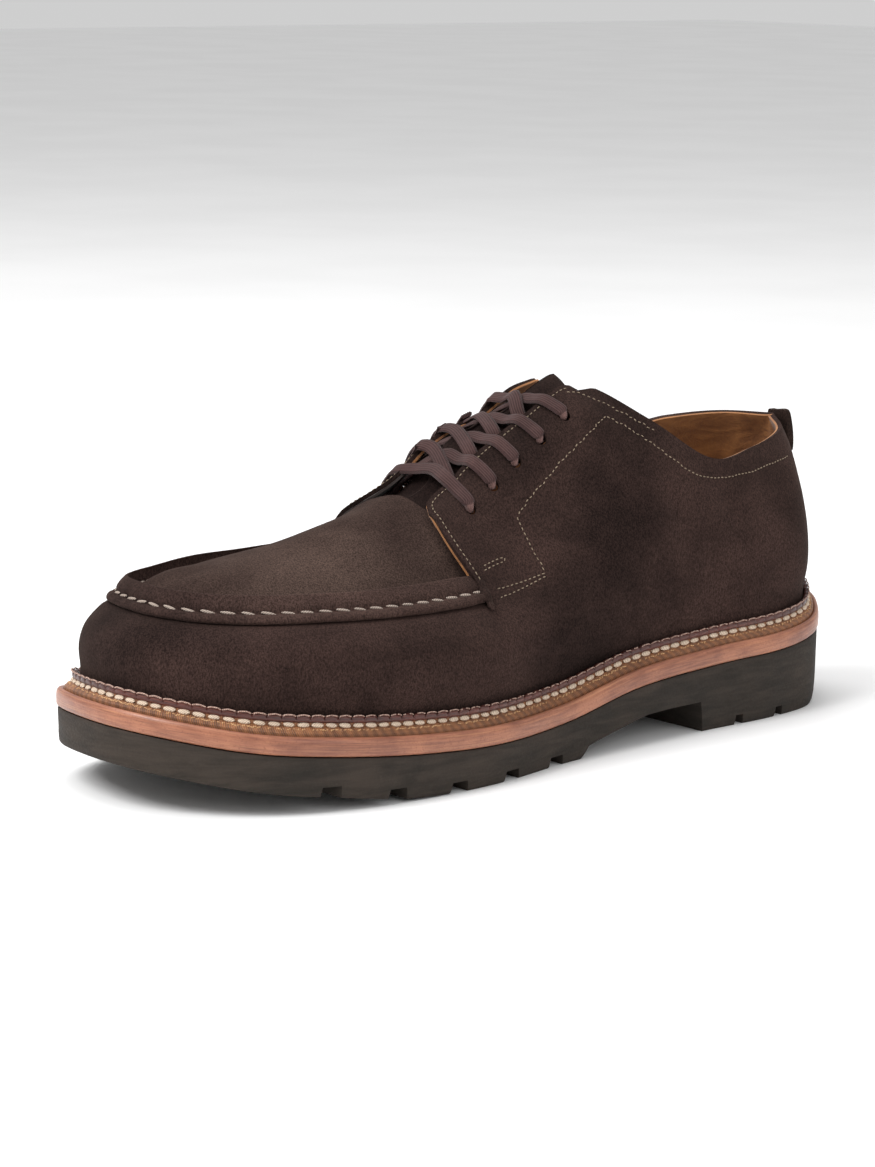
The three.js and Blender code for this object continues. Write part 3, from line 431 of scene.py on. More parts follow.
class Panel:
    """A grid of points over one side of the upper, with normals that point outwards."""

    def __init__(self, rows, side, alongs):
        self.points = np.array(rows)
        self.side, self.alongs = side, alongs
        across = np.gradient(self.points, axis=0)
        up = np.gradient(self.points, axis=1)
        normals = np.cross(up, across) * SIGN[side]
        sizes = np.linalg.norm(normals, axis=2, keepdims=True)
        self.normals = normals / np.maximum(sizes, 1e-9)

    def moved(self, depth):
        """Its points, moved outwards by depth in mm."""
        return self.points + self.normals * depth

    def shaped(self):
        """Works the soft forms into the panel."""
        count = self.points.shape[1] - 1
        for i, along in enumerate(self.alongs):
            for j in range(count + 1):
                self.points[i, j] += self.normals[i, j] * soft_form(self.side, along, j / count)
        return self

    def sample(self, i, j):
        """Point and normal at a place between the grid's points."""
        i = min(max(i, 0), self.points.shape[0] - 1.001)
        j = min(max(j, 0), self.points.shape[1] - 1.001)
        a, b = int(i), int(j)
        u, v = i - a, j - b
        made = []
        for grid in (self.points, self.normals):
            low = grid[a, b] * (1 - v) + grid[a, b + 1] * v
            high = grid[a + 1, b] * (1 - v) + grid[a + 1, b + 1] * v
            made.append(low * (1 - u) + high * u)
        return made[0], made[1] / np.linalg.norm(made[1])

    def nearest(self, point):
        """Place in the grid of a point that lies on it."""
        gaps = np.linalg.norm(self.points - point, axis=2)
        i, j = np.unravel_index(int(gaps.argmin()), gaps.shape)
        i, j = min(i, gaps.shape[0] - 2), min(j, gaps.shape[1] - 2)
        here = self.points[i, j]
        made = []
        for k, after in ((i, self.points[i + 1, j]), (j, self.points[i, j + 1])):
            step = after - here
            made.append(k + float(np.dot(point - here, step) / max(np.dot(step, step), 1e-9)))
        return made


QUARTER_RIBS, VAMP_RIBS, HIGH_POINTS = 150, 110, 36


FLAP_BOW = np.sin(np.linspace(0, 0.62 * math.pi, HIGH_POINTS)) ** 1.2


def flap_reach(along):
    """How far forward the front edge of a facing bows, in mm."""
    return FLAP_REACH * smooth(STEP_AT - FLAP_REACH_SPAN, STEP_AT, along)


def drooped(points, side):
    """Bends the front of a facing down toward the apron, most at its throat edge."""
    points = points.copy()
    for point in points:
        outside = SIGN[side] * (point[0] - THROAT_MIDDLE) - THROAT_HALF
        front = smooth(DROOP_FROM, DROOP_TO, along_of(point[1]))
        point[2] -= FLAP_DROOP * front * (1 - smooth(0, DROOP_WIDE, outside))
    return points


def quarter_panel(side, extra=0.0):
    """One side of the upper behind the vamp, with its facing; extra narrows the throat."""
    turns = np.linspace(0, turn_of(STEP_AT), QUARTER_RIBS + 1)
    rows, alongs = [], []
    low = sum(LOW_STEPS) + 1
    for turn in turns:
        along = share_of(turn)
        rib = Rib(along, side, "quarter")
        placed = rib.place(spline(rib.points, LOW_STEPS + HIGH_STEPS))
        upper = resample(trim(placed[low - 1:], side, extra), HIGH_POINTS)
        upper = drooped(upper, side)
        upper[:, 1] -= flap_reach(along) * FLAP_BOW
        rows.append(np.vstack([placed[:low - 1], upper]))
        alongs.append(along)
    return Panel(rows, side, alongs).shaped()


def vamp_turns(count=VAMP_RIBS):
    return np.linspace(turn_of(STEP_AT), math.pi, count + 1)


WALL_BLEND = 0.05  # share along over which the wall takes over the quarter's form
LIP_TURN, LIP_SHARES = (0.9, -0.5), (0.2, 0.55, 1.0)  # the raw edge leans out, in mm
TUCK_SHARES, TUCK_DROP = (0.3, 0.6), 0.4


def wall_panel(side):
    """The vamp's wall, from the welt up to the raw edge of the apron seam and in under it."""
    rows, alongs = [], []
    for turn in vamp_turns():
        along = share_of(turn)
        rib = Rib(along, side, "vamp")
        smooth_line = spline(rib.smooth_points(), LOW_STEPS + HIGH_STEPS)
        front = smooth_line[:sum(LOW_STEPS) + 1]
        blend = 1 - smooth(STEP_AT, STEP_AT + WALL_BLEND, along)
        if blend:
            quarter = Rib(STEP_AT, side, "quarter")
            old = spline(quarter.points, LOW_STEPS + HIGH_STEPS)[:len(front)]
            vamp = Rib(STEP_AT, side, "vamp")
            new = spline(vamp.smooth_points(), LOW_STEPS + HIGH_STEPS)[:len(front)]
            front = front + blend * (old - new)
        inner = rib.points[6] - rib.points[4]
        front[-3:] += np.outer(LIP_SHARES, LIP_TURN)
        tuck = [front[-1] + inner * share + np.array([0, -TUCK_DROP]) for share in TUCK_SHARES]
        rows.append(rib.place(np.vstack([front, tuck])))
        alongs.append(along)
    return Panel(rows, side, alongs).shaped()


VAMP_BACK = [  # x in mm, share along of the vamp's back edge between the facings
    (-40, 0.575), (-24, 0.59), (-20, 0.611), (-13.5, 0.602), (-4.5, 0.595), (4, 0.592),
    (12, 0.587), (20, 0.572), (40, 0.566),
]


def vamp_back(x):
    xs, alongs = zip(*VAMP_BACK)
    return float(np.interp(x, xs, alongs))


def plug_line(along, side):
    """A rib of the apron, from under the raised seam to the middle of the shoe."""
    rib = Rib(along, side, "vamp")
    base, crown, top = rib.points[6:9]
    lip = base + np.array([-0.3, -1.2])
    line = spline([base, crown, top], [16, 18])
    lift = 0.5 * np.exp(-np.arange(len(line)) / 2.0)[:, None] * np.array([0, 1])
    return rib.place(np.vstack([lip, line + lift]))


def starts_of(line_of, side, behind=0.0):
    """Where each column of a vamp's grid starts, so that its first row follows the back edge."""
    count = len(line_of(0.7, side))
    starts = np.full(count, 0.59)
    for _ in range(4):
        for j in range(count):
            starts[j] = max(vamp_back(line_of(starts[j], side)[j][0]) + behind, STEP_AT)
    return starts


def swept_panel(line_of, side, starts):
    """A grid whose columns each run from their own share along to the toe."""
    count = len(starts)
    rows, alongs = [], []
    for step in range(VAMP_RIBS + 1):
        share = step / VAMP_RIBS
        columns = []
        for j in range(count):
            first = turn_of(starts[j])
            columns.append(share_of(first + (math.pi - first) * share))
        rows.append(columns)
        alongs.append(columns[-1])
    grid = []
    for columns in rows:
        low, high = min(columns), max(columns)
        if high - low < 1e-6:
            grid.append(line_of(low, side))
            continue
        samples = np.linspace(low, high, 6)
        lines = np.array([line_of(a, side) for a in samples])
        made = []
        for j, along in enumerate(columns):
            place = (along - low) / (high - low) * 5
            k = min(int(place), 4)
            made.append(lines[k, j] * (1 - place + k) + lines[k + 1, j] * (place - k))
        grid.append(np.array(made))
    return Panel(grid, side, alongs)


def plug_panel(side):
    """The apron, from the foot of the raised seam to the middle of the shoe."""
    return swept_panel(plug_line, side, starts_of(plug_line, side))


def vamp_lining_line(along, side):
    """A rib of the lining in front, with as many points for each place along."""
    rib, line = lining_line(along, side)
    placed = rib.place(line)
    low = sum(LOW_STEPS) + 1
    return np.vstack([placed[:low - 1], resample(placed[low - 1:], HIGH_POINTS)])


def vamp_lining_panel(side):
    """The lining in front, whose upper part starts just behind the apron's back edge."""
    starts = starts_of(vamp_lining_line, side, 0.02)
    starts[:sum(LOW_STEPS)] = STEP_AT
    return swept_panel(vamp_lining_line, side, starts)


def rounded_over(lateral, medial, reach=11, rounds=60):
    """Softens the crest where both sides of the apron meet."""
    count = lateral.points.shape[1]
    whole = np.concatenate([lateral.points, medial.points[:, ::-1][:, 1:]], axis=1)
    middle = count - 1
    for _ in range(rounds):
        part = whole[:, middle - reach:middle + reach + 1].copy()
        part[:, 1:-1, 2] = (part[:, :-2, 2] + 2 * part[:, 1:-1, 2] + part[:, 2:, 2]) / 4
        whole[:, middle - reach:middle + reach + 1] = part
    return [Panel(whole[:, :count], "lateral", lateral.alongs),
            Panel(whole[:, count - 1:][:, ::-1], "medial", medial.alongs)]


# Section of the raised seam: share of the way from the raw edge to the ridge, mm outwards
SEAM_FACE = [
    (0.12, -1.5), (0.03, -1.0), (-0.04, -0.2), (-0.05, 0.6), (0.0, 1.15), (0.09, 1.35), (0.19, 1.2),
    (0.27, 0.75), (0.33, 0.05), (0.38, -0.3), (0.43, -0.2), (0.49, 0.3), (0.58, 0.62), (0.72, 0.75),
    (0.86, 0.7), (0.95, 0.6), (1.02, 0.5), (1.07, 0.25), (1.09, -0.15),
]
GROOVE = 0.385
STITCH_PITCH = 6.0


def seam_frame(rib):
    """Raw edge, ridge and inner foot of the raised seam, its way up and its outward way."""
    edge, ridge, base = rib.points[4:7]
    way = ridge - edge
    reach = np.linalg.norm(way)
    normal = np.array([-way[1], way[0]]) / reach
    return edge, ridge, base, way, normal


def seam_section(along, side, distance):
    """Closed section of the raised seam; distance is how far round it lies, for its puckers."""
    rib = Rib(along, side, "vamp")
    edge, ridge, base, way, normal = seam_frame(rib)
    phase = 2 * math.pi * distance / STITCH_PITCH
    points = []
    for share, out in SEAM_FACE:
        near = math.exp(-(((share - GROOVE) / 0.22) ** 2))
        pucker = 0.16 * near * math.cos(phase) + 0.1 * (share < 0.3) * math.sin(phase * 0.37)
        points.append(edge + way * share + normal * (out + pucker))
    inner = base - ridge
    for share, out in ((0.3, 0.35), (0.65, 0.3), (1.0, 0.25)):
        points.append(ridge + inner * share + np.array([0.35 - out * 0.4, 0]))
    points.append(base + np.array([-0.4, -1.6]))
    points.append((edge + base) / 2 + np.array([0, -2.4]))
    return rib.place(np.array(points))


def seam_path(side, count=420, inside=False):
    """Where the groove of the raised seam runs, or its inner foot, with its outward direction."""
    spots = []
    for turn in np.linspace(turn_of(STEP_AT - 0.003), math.pi, count):
        rib = Rib(share_of(turn), side, "vamp")
        edge, _, base, way, normal = seam_frame(rib)
        spot = edge + way * GROOVE
        if inside:
            spot, normal = base + np.array([0.2, 0.95]), np.array([0.8, 0.6])
        here, out = rib.place(np.array([spot, spot + normal]))
        spots.append((share_of(turn), here, out - here))
    return spots


# Meshes
def to_frame(points):
    return (np.asarray(points, float).reshape(-1, 3) + np.array([SHIFT, 0, 0])) * MM


def piece_of(name, points, faces, uvs=None):
    """A new object with its place in its mesh: points in mm, one UV for each in metres."""
    mesh = bpy.data.meshes.new(name)
    mesh.from_pydata(to_frame(points).tolist(), [], faces)
    if uvs is not None:
        layer = mesh.uv_layers.new(name="flow")
        uvs = np.asarray(uvs, np.float32)
        index = np.zeros(len(mesh.loops), np.int32)
        mesh.loops.foreach_get("vertex_index", index)
        layer.data.foreach_set("uv", uvs[index].ravel())
    mesh.validate()
    piece = bpy.data.objects.new(name, mesh)
    bpy.context.scene.collection.objects.link(piece)
    return piece


def only(piece):
    bpy.ops.object.select_all(action="DESELECT")
    piece.select_set(True)
    bpy.context.view_layer.objects.active = piece


def joined(pieces, name):
    bpy.ops.object.select_all(action="DESELECT")
    for piece in pieces:
        piece.select_set(True)
    bpy.context.view_layer.objects.active = pieces[0]
    if len(pieces) > 1:
        bpy.ops.object.join()
    pieces[0].name = name
    return pieces[0]


def merge(piece, gap=0.00005, outwards=False):
    only(piece)
    bpy.ops.object.mode_set(mode="EDIT")
    bpy.ops.mesh.select_all(action="SELECT")
    bpy.ops.mesh.remove_doubles(threshold=gap)
    if outwards:
        bpy.ops.mesh.normals_make_consistent(inside=False)
    bpy.ops.object.mode_set(mode="OBJECT")


def apply(piece, kind, **settings):
    only(piece)
    modifier = piece.modifiers.new(kind.title(), kind)
    for key, value in settings.items():
        setattr(modifier, key, value)
    bpy.ops.object.modifier_apply(modifier=modifier.name)


def place_is_in_mesh(piece):
    only(piece)
    bpy.ops.object.transform_apply(location=True, rotation=True, scale=True)


def smoothed(piece, degrees=None):
    only(piece)
    if degrees is None:
        bpy.ops.object.shade_smooth()
    else:
        bpy.ops.object.shade_smooth_by_angle(angle=math.radians(degrees))


def finished(piece, finish, slot, *nodes):
    piece.data.materials.clear()
    piece.data.materials.append(finish)
    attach(piece, "root")
    if nodes:
        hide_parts(*nodes)


def weave(rows, count, closed_rows=False, closed=False, flip=False):
    """Faces between rows of the same number of points."""
    faces = []
    for i in range(rows if closed_rows else rows - 1):
        for j in range(count if closed else count - 1):
            a, b = i * count + j, i * count + (j + 1) % count
            c, d = ((i + 1) % rows) * count + (j + 1) % count, ((i + 1) % rows) * count + j
            faces.append((a, d, c, b) if flip else (a, b, c, d))
    return faces


def flow_of(grid):
    """Length across the rows and along them, in metres, for each point of a grid."""
    grid = np.asarray(grid, float)
    rows = np.zeros(grid.shape[:2])
    rows[1:] = np.cumsum(np.linalg.norm(np.diff(grid, axis=0), axis=2), axis=0)
    columns = np.zeros(grid.shape[:2])
    columns[:, 1:] = np.cumsum(np.linalg.norm(np.diff(grid, axis=1), axis=2), axis=1)
    middle = rows[:, rows.shape[1] // 2][:, None] * np.ones_like(rows)
    return np.dstack([middle, columns]).reshape(-1, 2) * MM


def grid_piece(name, grid, closed_rows=False, closed=False, flip=False, caps=False):
    grid = np.asarray(grid, float)
    rows, count = grid.shape[:2]
    faces = weave(rows, count, closed_rows, closed, flip)
    if caps:
        first, last = tuple(range(count)), tuple(range((rows - 1) * count, rows * count))
        faces += [first if flip else first[::-1], last[::-1] if flip else last]
    return piece_of(name, grid.reshape(-1, 3), faces, flow_of(grid))


def panel_piece(name, panel):
    return grid_piece(name, panel.points, flip=panel.side == "medial")


def tree_of(panels):
    """One tree over several panels, for rays, in mm."""
    points, faces = [], []
    for panel in panels:
        rows, count = panel.points.shape[:2]
        faces += [tuple(k + len(points) for k in face)
                  for face in weave(rows, count, flip=panel.side == "medial")]
        points += [Vector(p) for p in panel.points.reshape(-1, 3)]
    return BVHTree.FromPolygons(points, faces)


def bridged_tree(lateral, medial):
    """One tree over both sides, joined along the middle of the shoe."""
    grid = np.concatenate([lateral.points, medial.points[:, ::-1]], axis=1)
    rows, count = grid.shape[:2]
    return BVHTree.FromPolygons([Vector(p) for p in grid.reshape(-1, 3)], weave(rows, count))


def loop_spots(inset, rise, count=1400):
    """A closed path round the shoe: inset is a share of the welt's width, rise is in mm."""
    spots = []
    for i in range(count):
        turn = 2 * math.pi * i / count
        side = "lateral" if turn <= math.pi else "medial"
        turn = turn if side == "lateral" else 2 * math.pi - turn
        along = share_of(turn)
        flat = inset_point(turn, side, inset * welt_width(along, side))
        spots.append([flat[0], flat[1], stack_at(along_of(flat[1])) + rise])
    return np.array(spots)


def evenly(loop, count, start=0.0):
    """count points spaced evenly round a closed path, with the way ahead and outwards at each."""
    closed = np.vstack([loop, loop[:1]])
    lengths = np.r_[0, np.cumsum(np.linalg.norm(np.diff(closed, axis=0), axis=1))]
    at = (np.arange(count) + start) / count * lengths[-1]
    made = np.column_stack([np.interp(at, lengths, closed[:, k]) for k in range(3)])
    ahead = np.roll(made, -1, axis=0) - np.roll(made, 1, axis=0)
    ahead /= np.linalg.norm(ahead, axis=1)[:, None]
    out = np.column_stack([-ahead[:, 1], ahead[:, 0], np.zeros(count)])
    out /= np.linalg.norm(out, axis=1)[:, None]
    if np.dot(out[0], made[0] - made.mean(axis=0)) < 0:
        out = -out
    return made, ahead, out


def slab_grid(levels, steps=120):
    """Rows round the shoe, each with one point for every level: inset in mm and height."""
    rows = []
    for i in range(2 * steps):
        turn = math.pi * i / steps
        side = "lateral" if turn <= math.pi else "medial"
        turn = turn if side == "lateral" else 2 * math.pi - turn
        along = share_of(turn)
        row = []
        for inset, height in levels:
            flat = inset_point(turn, side, inset(along, side))
            row.append([flat[0], flat[1], height(along_of(flat[1]))])
        rows.append(row)
    return np.array(rows)


def slab_piece(name, levels, steps=120):
    """A slab whose sides follow the levels, closed below and above by bands across the shoe."""
    grid = slab_grid(levels, steps)
    rows, count = grid.shape[:2]
    faces = weave(rows, count, closed_rows=True)
    for i in range(steps):
        a, b = i, (i + 1) % rows
        c, d = (rows - i - 1) % rows, (rows - i) % rows
        for level, turned in ((0, False), (count - 1, True)):
            ring = [k * count + level for k in (a, b, c, d)]
            ring = [k for n, k in enumerate(ring) if k not in ring[:n]]
            if len(ring) > 2:
                faces.append(tuple(ring[::-1] if turned else ring))
    piece = piece_of(name, grid.reshape(-1, 3), faces, flow_of(grid))
    merge(piece, outwards=True)
    return piece


def lip(share):
    return lambda along, side: share * welt_width(along, side)


def on_stack(rise):
    return lambda along: stack_at(along) + rise


# One small shape copied many times, as a single mesh
def thread_shape(name, lobes=0.0):
    """One stitch 1 mm long, wide and thick, along X, made from a low sphere."""
    bpy.ops.object.select_all(action="DESELECT")
    bpy.ops.mesh.primitive_uv_sphere_add(segments=8, ring_count=6, radius=0.5, location=(0, 0, 0))
    piece = bpy.context.active_object
    piece.name = name
    points = np.array([v.co for v in piece.data.vertices])
    points = points[:, [2, 1, 0]]
    full = np.sign(points[:, 0]) * (np.abs(points[:, 0]) * 2) ** 0.8 / 2
    points[:, 0] = full
    if lobes:
        points[:, 2] -= lobes * np.exp(-((points[:, 1] / 0.16) ** 2)) * (points[:, 2] > 0)
    faces = [tuple(p.vertices)[::-1] for p in piece.data.polygons]
    bpy.data.objects.remove(piece, do_unlink=True)
    return points, faces


def scattered(name, shape, spots):
    """spots: middle, way ahead, way out, (length, width, thickness), all in mm."""
    points, faces = shape
    all_points, all_faces, flows = [], [], []
    for k, (middle, ahead, out, size) in enumerate(spots):
        ahead = np.asarray(ahead, float) / np.linalg.norm(ahead)
        aside = np.cross(out, ahead)
        aside /= np.linalg.norm(aside)
        out = np.cross(ahead, aside)
        local = points * np.asarray(size)
        world = middle + local[:, :1] * ahead + local[:, 1:2] * aside + local[:, 2:] * out
        all_faces += [tuple(v + k * len(points) for v in face) for face in faces]
        all_points.append(world)
        flows.append(local[:, :2] * MM + np.array([k * 0.01, 0]))
    return piece_of(name, np.vstack(all_points), all_faces, np.vstack(flows))


def row_of_stitches(path, normals, pitch, size, sink=0.0, tilt=0.0, wander=0.0, seed=1):
    """Stitches at an even pitch along a path of points in mm."""
    rng = random.Random(seed)
    path, normals = np.asarray(path), np.asarray(normals)
    lengths = np.r_[0, np.cumsum(np.linalg.norm(np.diff(path, axis=0), axis=1))]
    spots = []
    count = max(int(lengths[-1] / pitch), 1)
    for k in range(count):
        at = (k + 0.5) * lengths[-1] / count
        here = np.array([np.interp(at, lengths, path[:, c]) for c in range(3)])
        after = np.array([np.interp(at + 0.3, lengths, path[:, c]) for c in range(3)])
        before = np.array([np.interp(at - 0.3, lengths, path[:, c]) for c in range(3)])
        out = np.array([np.interp(at, lengths, normals[:, c]) for c in range(3)])
        out /= np.linalg.norm(out)
        ahead = after - before
        ahead /= max(np.linalg.norm(ahead), 1e-9)
        aside = np.cross(out, ahead)
        turn = tilt + wander * (rng.random() - 0.5)
        ahead = ahead + aside * turn
        scale = 1 + 0.16 * (rng.random() - 0.5)
        spots.append((here - out * sink, ahead, out, np.array(size) * scale))
    return spots


# The camera's rays, for seams that are placed by where the photo shows them
CENTRE = np.array([0.0, 0.0, 45.0])
AZIMUTH, ELEVATION, ROLL = (math.radians(a) for a in (49.286, 11.0, 0.773))
DISTANCE, FOCAL, MIDDLE_X, MIDDLE_Y = 1200.0, 3573.6, 473.8, 606.5
FRAME_WIDE, FRAME_HIGH = 875, 1167
BACK = np.array([
    math.sin(AZIMUTH) * math.cos(ELEVATION),
    -math.cos(AZIMUTH) * math.cos(ELEVATION),
    math.sin(ELEVATION),
])
LEVEL = np.array([math.cos(AZIMUTH), math.sin(AZIMUTH), 0.0])
RISING = np.cross(BACK, LEVEL)
RIGHT = LEVEL * math.cos(ROLL) + RISING * math.sin(ROLL)
UP = -LEVEL * math.sin(ROLL) + RISING * math.cos(ROLL)
EYE = CENTRE + DISTANCE * BACK


def ray_of(px, py):
    way = -BACK + RIGHT * (px - MIDDLE_X) / FOCAL - UP * (py - MIDDLE_Y) / FOCAL
    return way / np.linalg.norm(way)


def seen_at(px, py, tree):
    """Where the ray through a place in the frame meets a tree."""
    hit = tree.ray_cast(Vector(EYE), Vector(ray_of(px, py)))
    return None if hit[0] is None else np.array(hit[0])


def seam_on(panel, twin, tree, places):
    """Fine paths through places in the frame: over the near panel, and over its twin."""
    found = []
    for px, py in resample(np.array(places, float), max(int(length_of(places) / 4), 2)):
        hit = seen_at(px, py, tree)
        if hit is not None:
            found.append(panel.nearest(hit))
    paths = []
    for target in (panel, twin):
        samples = [target.sample(i, j) for i, j in found]
        paths.append((np.array([s[0] for s in samples]), np.array([s[1] for s in samples])))
    return paths


def edge_row(panel, tree, first, low, inset):
    """A path set in from a facing's throat edge and, round the corner, from its front edge."""
    top = [panel.points[i, -1] for i, along in enumerate(panel.alongs) if along >= first]
    path = resample(np.array(top + list(panel.points[-1, low:-1][::-1])), 150)
    for _ in range(6):
        path[1:-1] = (path[:-2] + 2 * path[1:-1] + path[2:]) / 4
    ahead = np.gradient(path, axis=0)
    made, normals = [], []
    for spot, way in zip(path, ahead):
        normal = np.array(tree.find_nearest(Vector(spot))[1])
        normal *= 1 if normal[2] > 0 else -1
        inwards = np.cross(normal, way) * SIGN[panel.side]
        inwards /= np.linalg.norm(inwards)
        here, normal = tree.find_nearest(Vector(spot + inwards * inset))[:2]
        made.append(np.array(here))
        normals.append(np.array(normal) * (1 if normal.z > 0 else -1))
    return np.array(made), np.array(normals)


# Finishes
def tone(code):
    """A colour written as six digits, in the scene's linear values."""
    parts = [int(code[k:k + 2], 16) / 255 for k in (0, 2, 4)]
    linear = [p / 12.92 if p <= 0.04045 else ((p + 0.055) / 1.055) ** 2.4 for p in parts]
    return (*linear, 1.0)


class Value:
    """A socket that numbers and other values can be worked with."""

    def __init__(self, finish, socket):
        self.finish, self.socket = finish, socket

    def work(self, operation, other, turned=False):
        pair = [other, self] if turned else [self, other]
        sockets = {0: pair[0], 1: pair[1]}
        made = self.finish.node("ShaderNodeMath", {"operation": operation}, sockets)
        return Value(self.finish, made.outputs[0])

    def __add__(self, other):
        return self.work("ADD", other)

    def __radd__(self, other):
        return self.work("ADD", other, True)

    def __sub__(self, other):
        return self.work("SUBTRACT", other)

    def __rsub__(self, other):
        return self.work("SUBTRACT", other, True)

    def __mul__(self, other):
        return self.work("MULTIPLY", other)

    def __rmul__(self, other):
        return self.work("MULTIPLY", other, True)

    def __truediv__(self, other):
        return self.work("DIVIDE", other)

    def __pow__(self, other):
        return self.work("POWER", other)


class Finish:
    """One material and its nodes."""

    def __init__(self, name, **sockets):
        self.material = bpy.data.materials.new(name)
        self.material.use_nodes = True
        self.nodes = self.material.node_tree.nodes
        self.links = self.material.node_tree.links
        self.shader = self.nodes["Principled BSDF"]
        for socket, value in sockets.items():
            self.shader.inputs[socket.replace("_", " ")].default_value = value

    def node(self, kind, settings=None, sockets=None):
        """Any node: its type, its settings, then the values or links of its sockets."""
        made = self.nodes.new(kind)
        for key, value in (settings or {}).items():
            if key == "stops":
                while len(made.color_ramp.elements) < len(value):
                    made.color_ramp.elements.new(0.5)
                for element, (at, colour) in zip(made.color_ramp.elements, value):
                    element.position, element.color = at, colour
            else:
                setattr(made, key, value)
        for key, value in (sockets or {}).items():
            socket = made.inputs[key]
            if isinstance(value, Value):
                value = value.socket
            if isinstance(value, bpy.types.NodeSocket):
                self.links.new(value, socket)
            else:
                socket.default_value = value
        return made

    def place(self, scale=(1, 1, 1), flow=False, turn=(0, 0, 0)):
        """Object coordinates, or the piece's own flow map, stretched by scale."""
        if flow:
            source = self.node("ShaderNodeUVMap", {"uv_map": "flow"}).outputs[0]
        else:
            source = self.node("ShaderNodeTexCoord").outputs["Object"]
        sockets = {"Vector": source, "Scale": scale, "Rotation": turn}
        return self.node("ShaderNodeMapping", None, sockets).outputs[0]

    def noise(self, place, scale, detail=3.0, rough=0.55, twist=0.0):
        sockets = {"Vector": place, "Scale": scale, "Detail": detail, "Roughness": rough,
                   "Distortion": twist}
        return Value(self, self.node("ShaderNodeTexNoise", None, sockets).outputs[0])

    def wave(self, place, scale, twist=0.0, across="X"):
        settings = {"wave_type": "BANDS", "bands_direction": across}
        sockets = {"Vector": place, "Scale": scale, "Distortion": twist}
        return Value(self, self.node("ShaderNodeTexWave", settings, sockets).outputs["Fac"])

    def band(self, value, low, high, to_low=0.0, to_high=1.0):
        """A smooth step of a value between low and high."""
        settings = {"interpolation_type": "SMOOTHSTEP"}
        sockets = {"Value": value, "From Min": low, "From Max": high, "To Min": to_low,
                   "To Max": to_high}
        return Value(self, self.node("ShaderNodeMapRange", settings, sockets).outputs[0])

    def part(self, place, axis):
        """One coordinate of a place."""
        split = self.node("ShaderNodeSeparateXYZ", None, {"Vector": place})
        return Value(self, split.outputs[axis])

    def mix(self, factor, low, high, how="MIX"):
        settings = {"data_type": "RGBA", "blend_type": how}
        sockets = {0: factor, 6: low, 7: high}
        return self.node("ShaderNodeMix", settings, sockets).outputs[2]

    def set(self, **values):
        """Links values to the shader's own sockets."""
        for key, value in values.items():
            socket = value.socket if isinstance(value, Value) else value
            self.links.new(socket, self.shader.inputs[key.replace("_", " ")])
        return self

    def bump(self, height, strength, distance, under=None):
        sockets = {"Height": height, "Strength": strength, "Distance": distance}
        if under is not None:
            sockets["Normal"] = under
        return self.node("ShaderNodeBump", None, sockets).outputs[0]


def colour(name):
    return (*getattr(bpy.context.scene.shoe_colours, name), 1.0)


def suede(name, light, dark, worn=0.0):
    """Napped leather: brushed patches, short fibres, soft sheen."""
    f = Finish(name, Roughness=0.93, Sheen_Weight=0.06, Sheen_Roughness=0.4,
               Sheen_Tint=(0.75, 0.52, 0.42, 1), Specular_IOR_Level=0.07)
    at = f.place()
    brushed = f.place((1, 0.45, 1.5), turn=(0.35, 0.2, 0.3))
    patches = f.noise(at, 15, 2, 0.5, 0.2)
    strokes = f.noise(brushed, 60, 3, 0.6, 0.3)
    cloudy = f.noise(at, 40, 2, 0.6, 0.2)
    fibres = f.noise(f.place((1, 1, 0.55), turn=(0.5, 0.1, 0)), 1900, 2, 0.7)
    grit = f.noise(at, 3600, 1, 0.5)
    nap = f.band(patches * 0.5 + strokes * 0.2 + cloudy * 0.3, 0.33, 0.68)
    base = f.mix(nap, dark, light)
    speck = f.band(fibres * 0.6 + grit * 0.4, 0.34, 0.66, 0.42, 1.72)
    speckled = f.mix(1.0, base, f.node("ShaderNodeCombineColor", None, {
        0: speck, 1: speck, 2: speck}).outputs[0], "MULTIPLY")
    scuffed = f.mix(f.band(f.noise(at, 130, 4, 0.7, 0.4), 0.6, 0.8) * (0.06 + worn), speckled,
                    tone("5a463b"))
    height = fibres * 0.55 + grit * 0.2 + strokes * 0.25
    fine = f.bump(height, 0.55, 0.00035)
    coarse = f.bump(cloudy * 0.6 + strokes * 0.4, 0.25, 0.0016, fine)
    rough = f.band(nap, 0, 1, 0.97, 0.88)
    return f.set(Base_Color=scuffed, Roughness=rough, Normal=coarse).material


def edge_leather(name, light, dark, streak):
    """A waxed leather edge: drawn-out lines round the shoe, fine pores."""
    f = Finish(name, Coat_Weight=0.35, Coat_Roughness=0.28, Specular_IOR_Level=0.45)
    flow = f.place((1, 14, 1), flow=True)
    lines = f.noise(flow, 90, 4, 0.65, 0.2)
    layers = f.noise(f.place((0.25, 40, 1), flow=True), 60, 2, 0.6)
    patches = f.noise(f.place(), 42, 3, 0.6, 0.5)
    pores = f.noise(f.place(), 1500, 2, 0.6)
    mixed = f.mix(f.band(lines * 0.5 + patches * 0.5, 0.33, 0.68), dark, light)
    lined = f.mix(f.band(layers, 0.52, 0.72) * 0.45, mixed, streak)
    spotted = f.mix(f.band(pores, 0.52, 0.75) * 0.6, lined, dark)
    height = lines * 0.35 + layers * 0.4 + pores * 0.25
    rough = f.band(patches * 0.5 + pores * 0.5, 0.3, 0.7, 0.38, 0.6)
    return f.set(Base_Color=spotted, Roughness=rough, Normal=f.bump(height, 0.4, 0.0004)).material


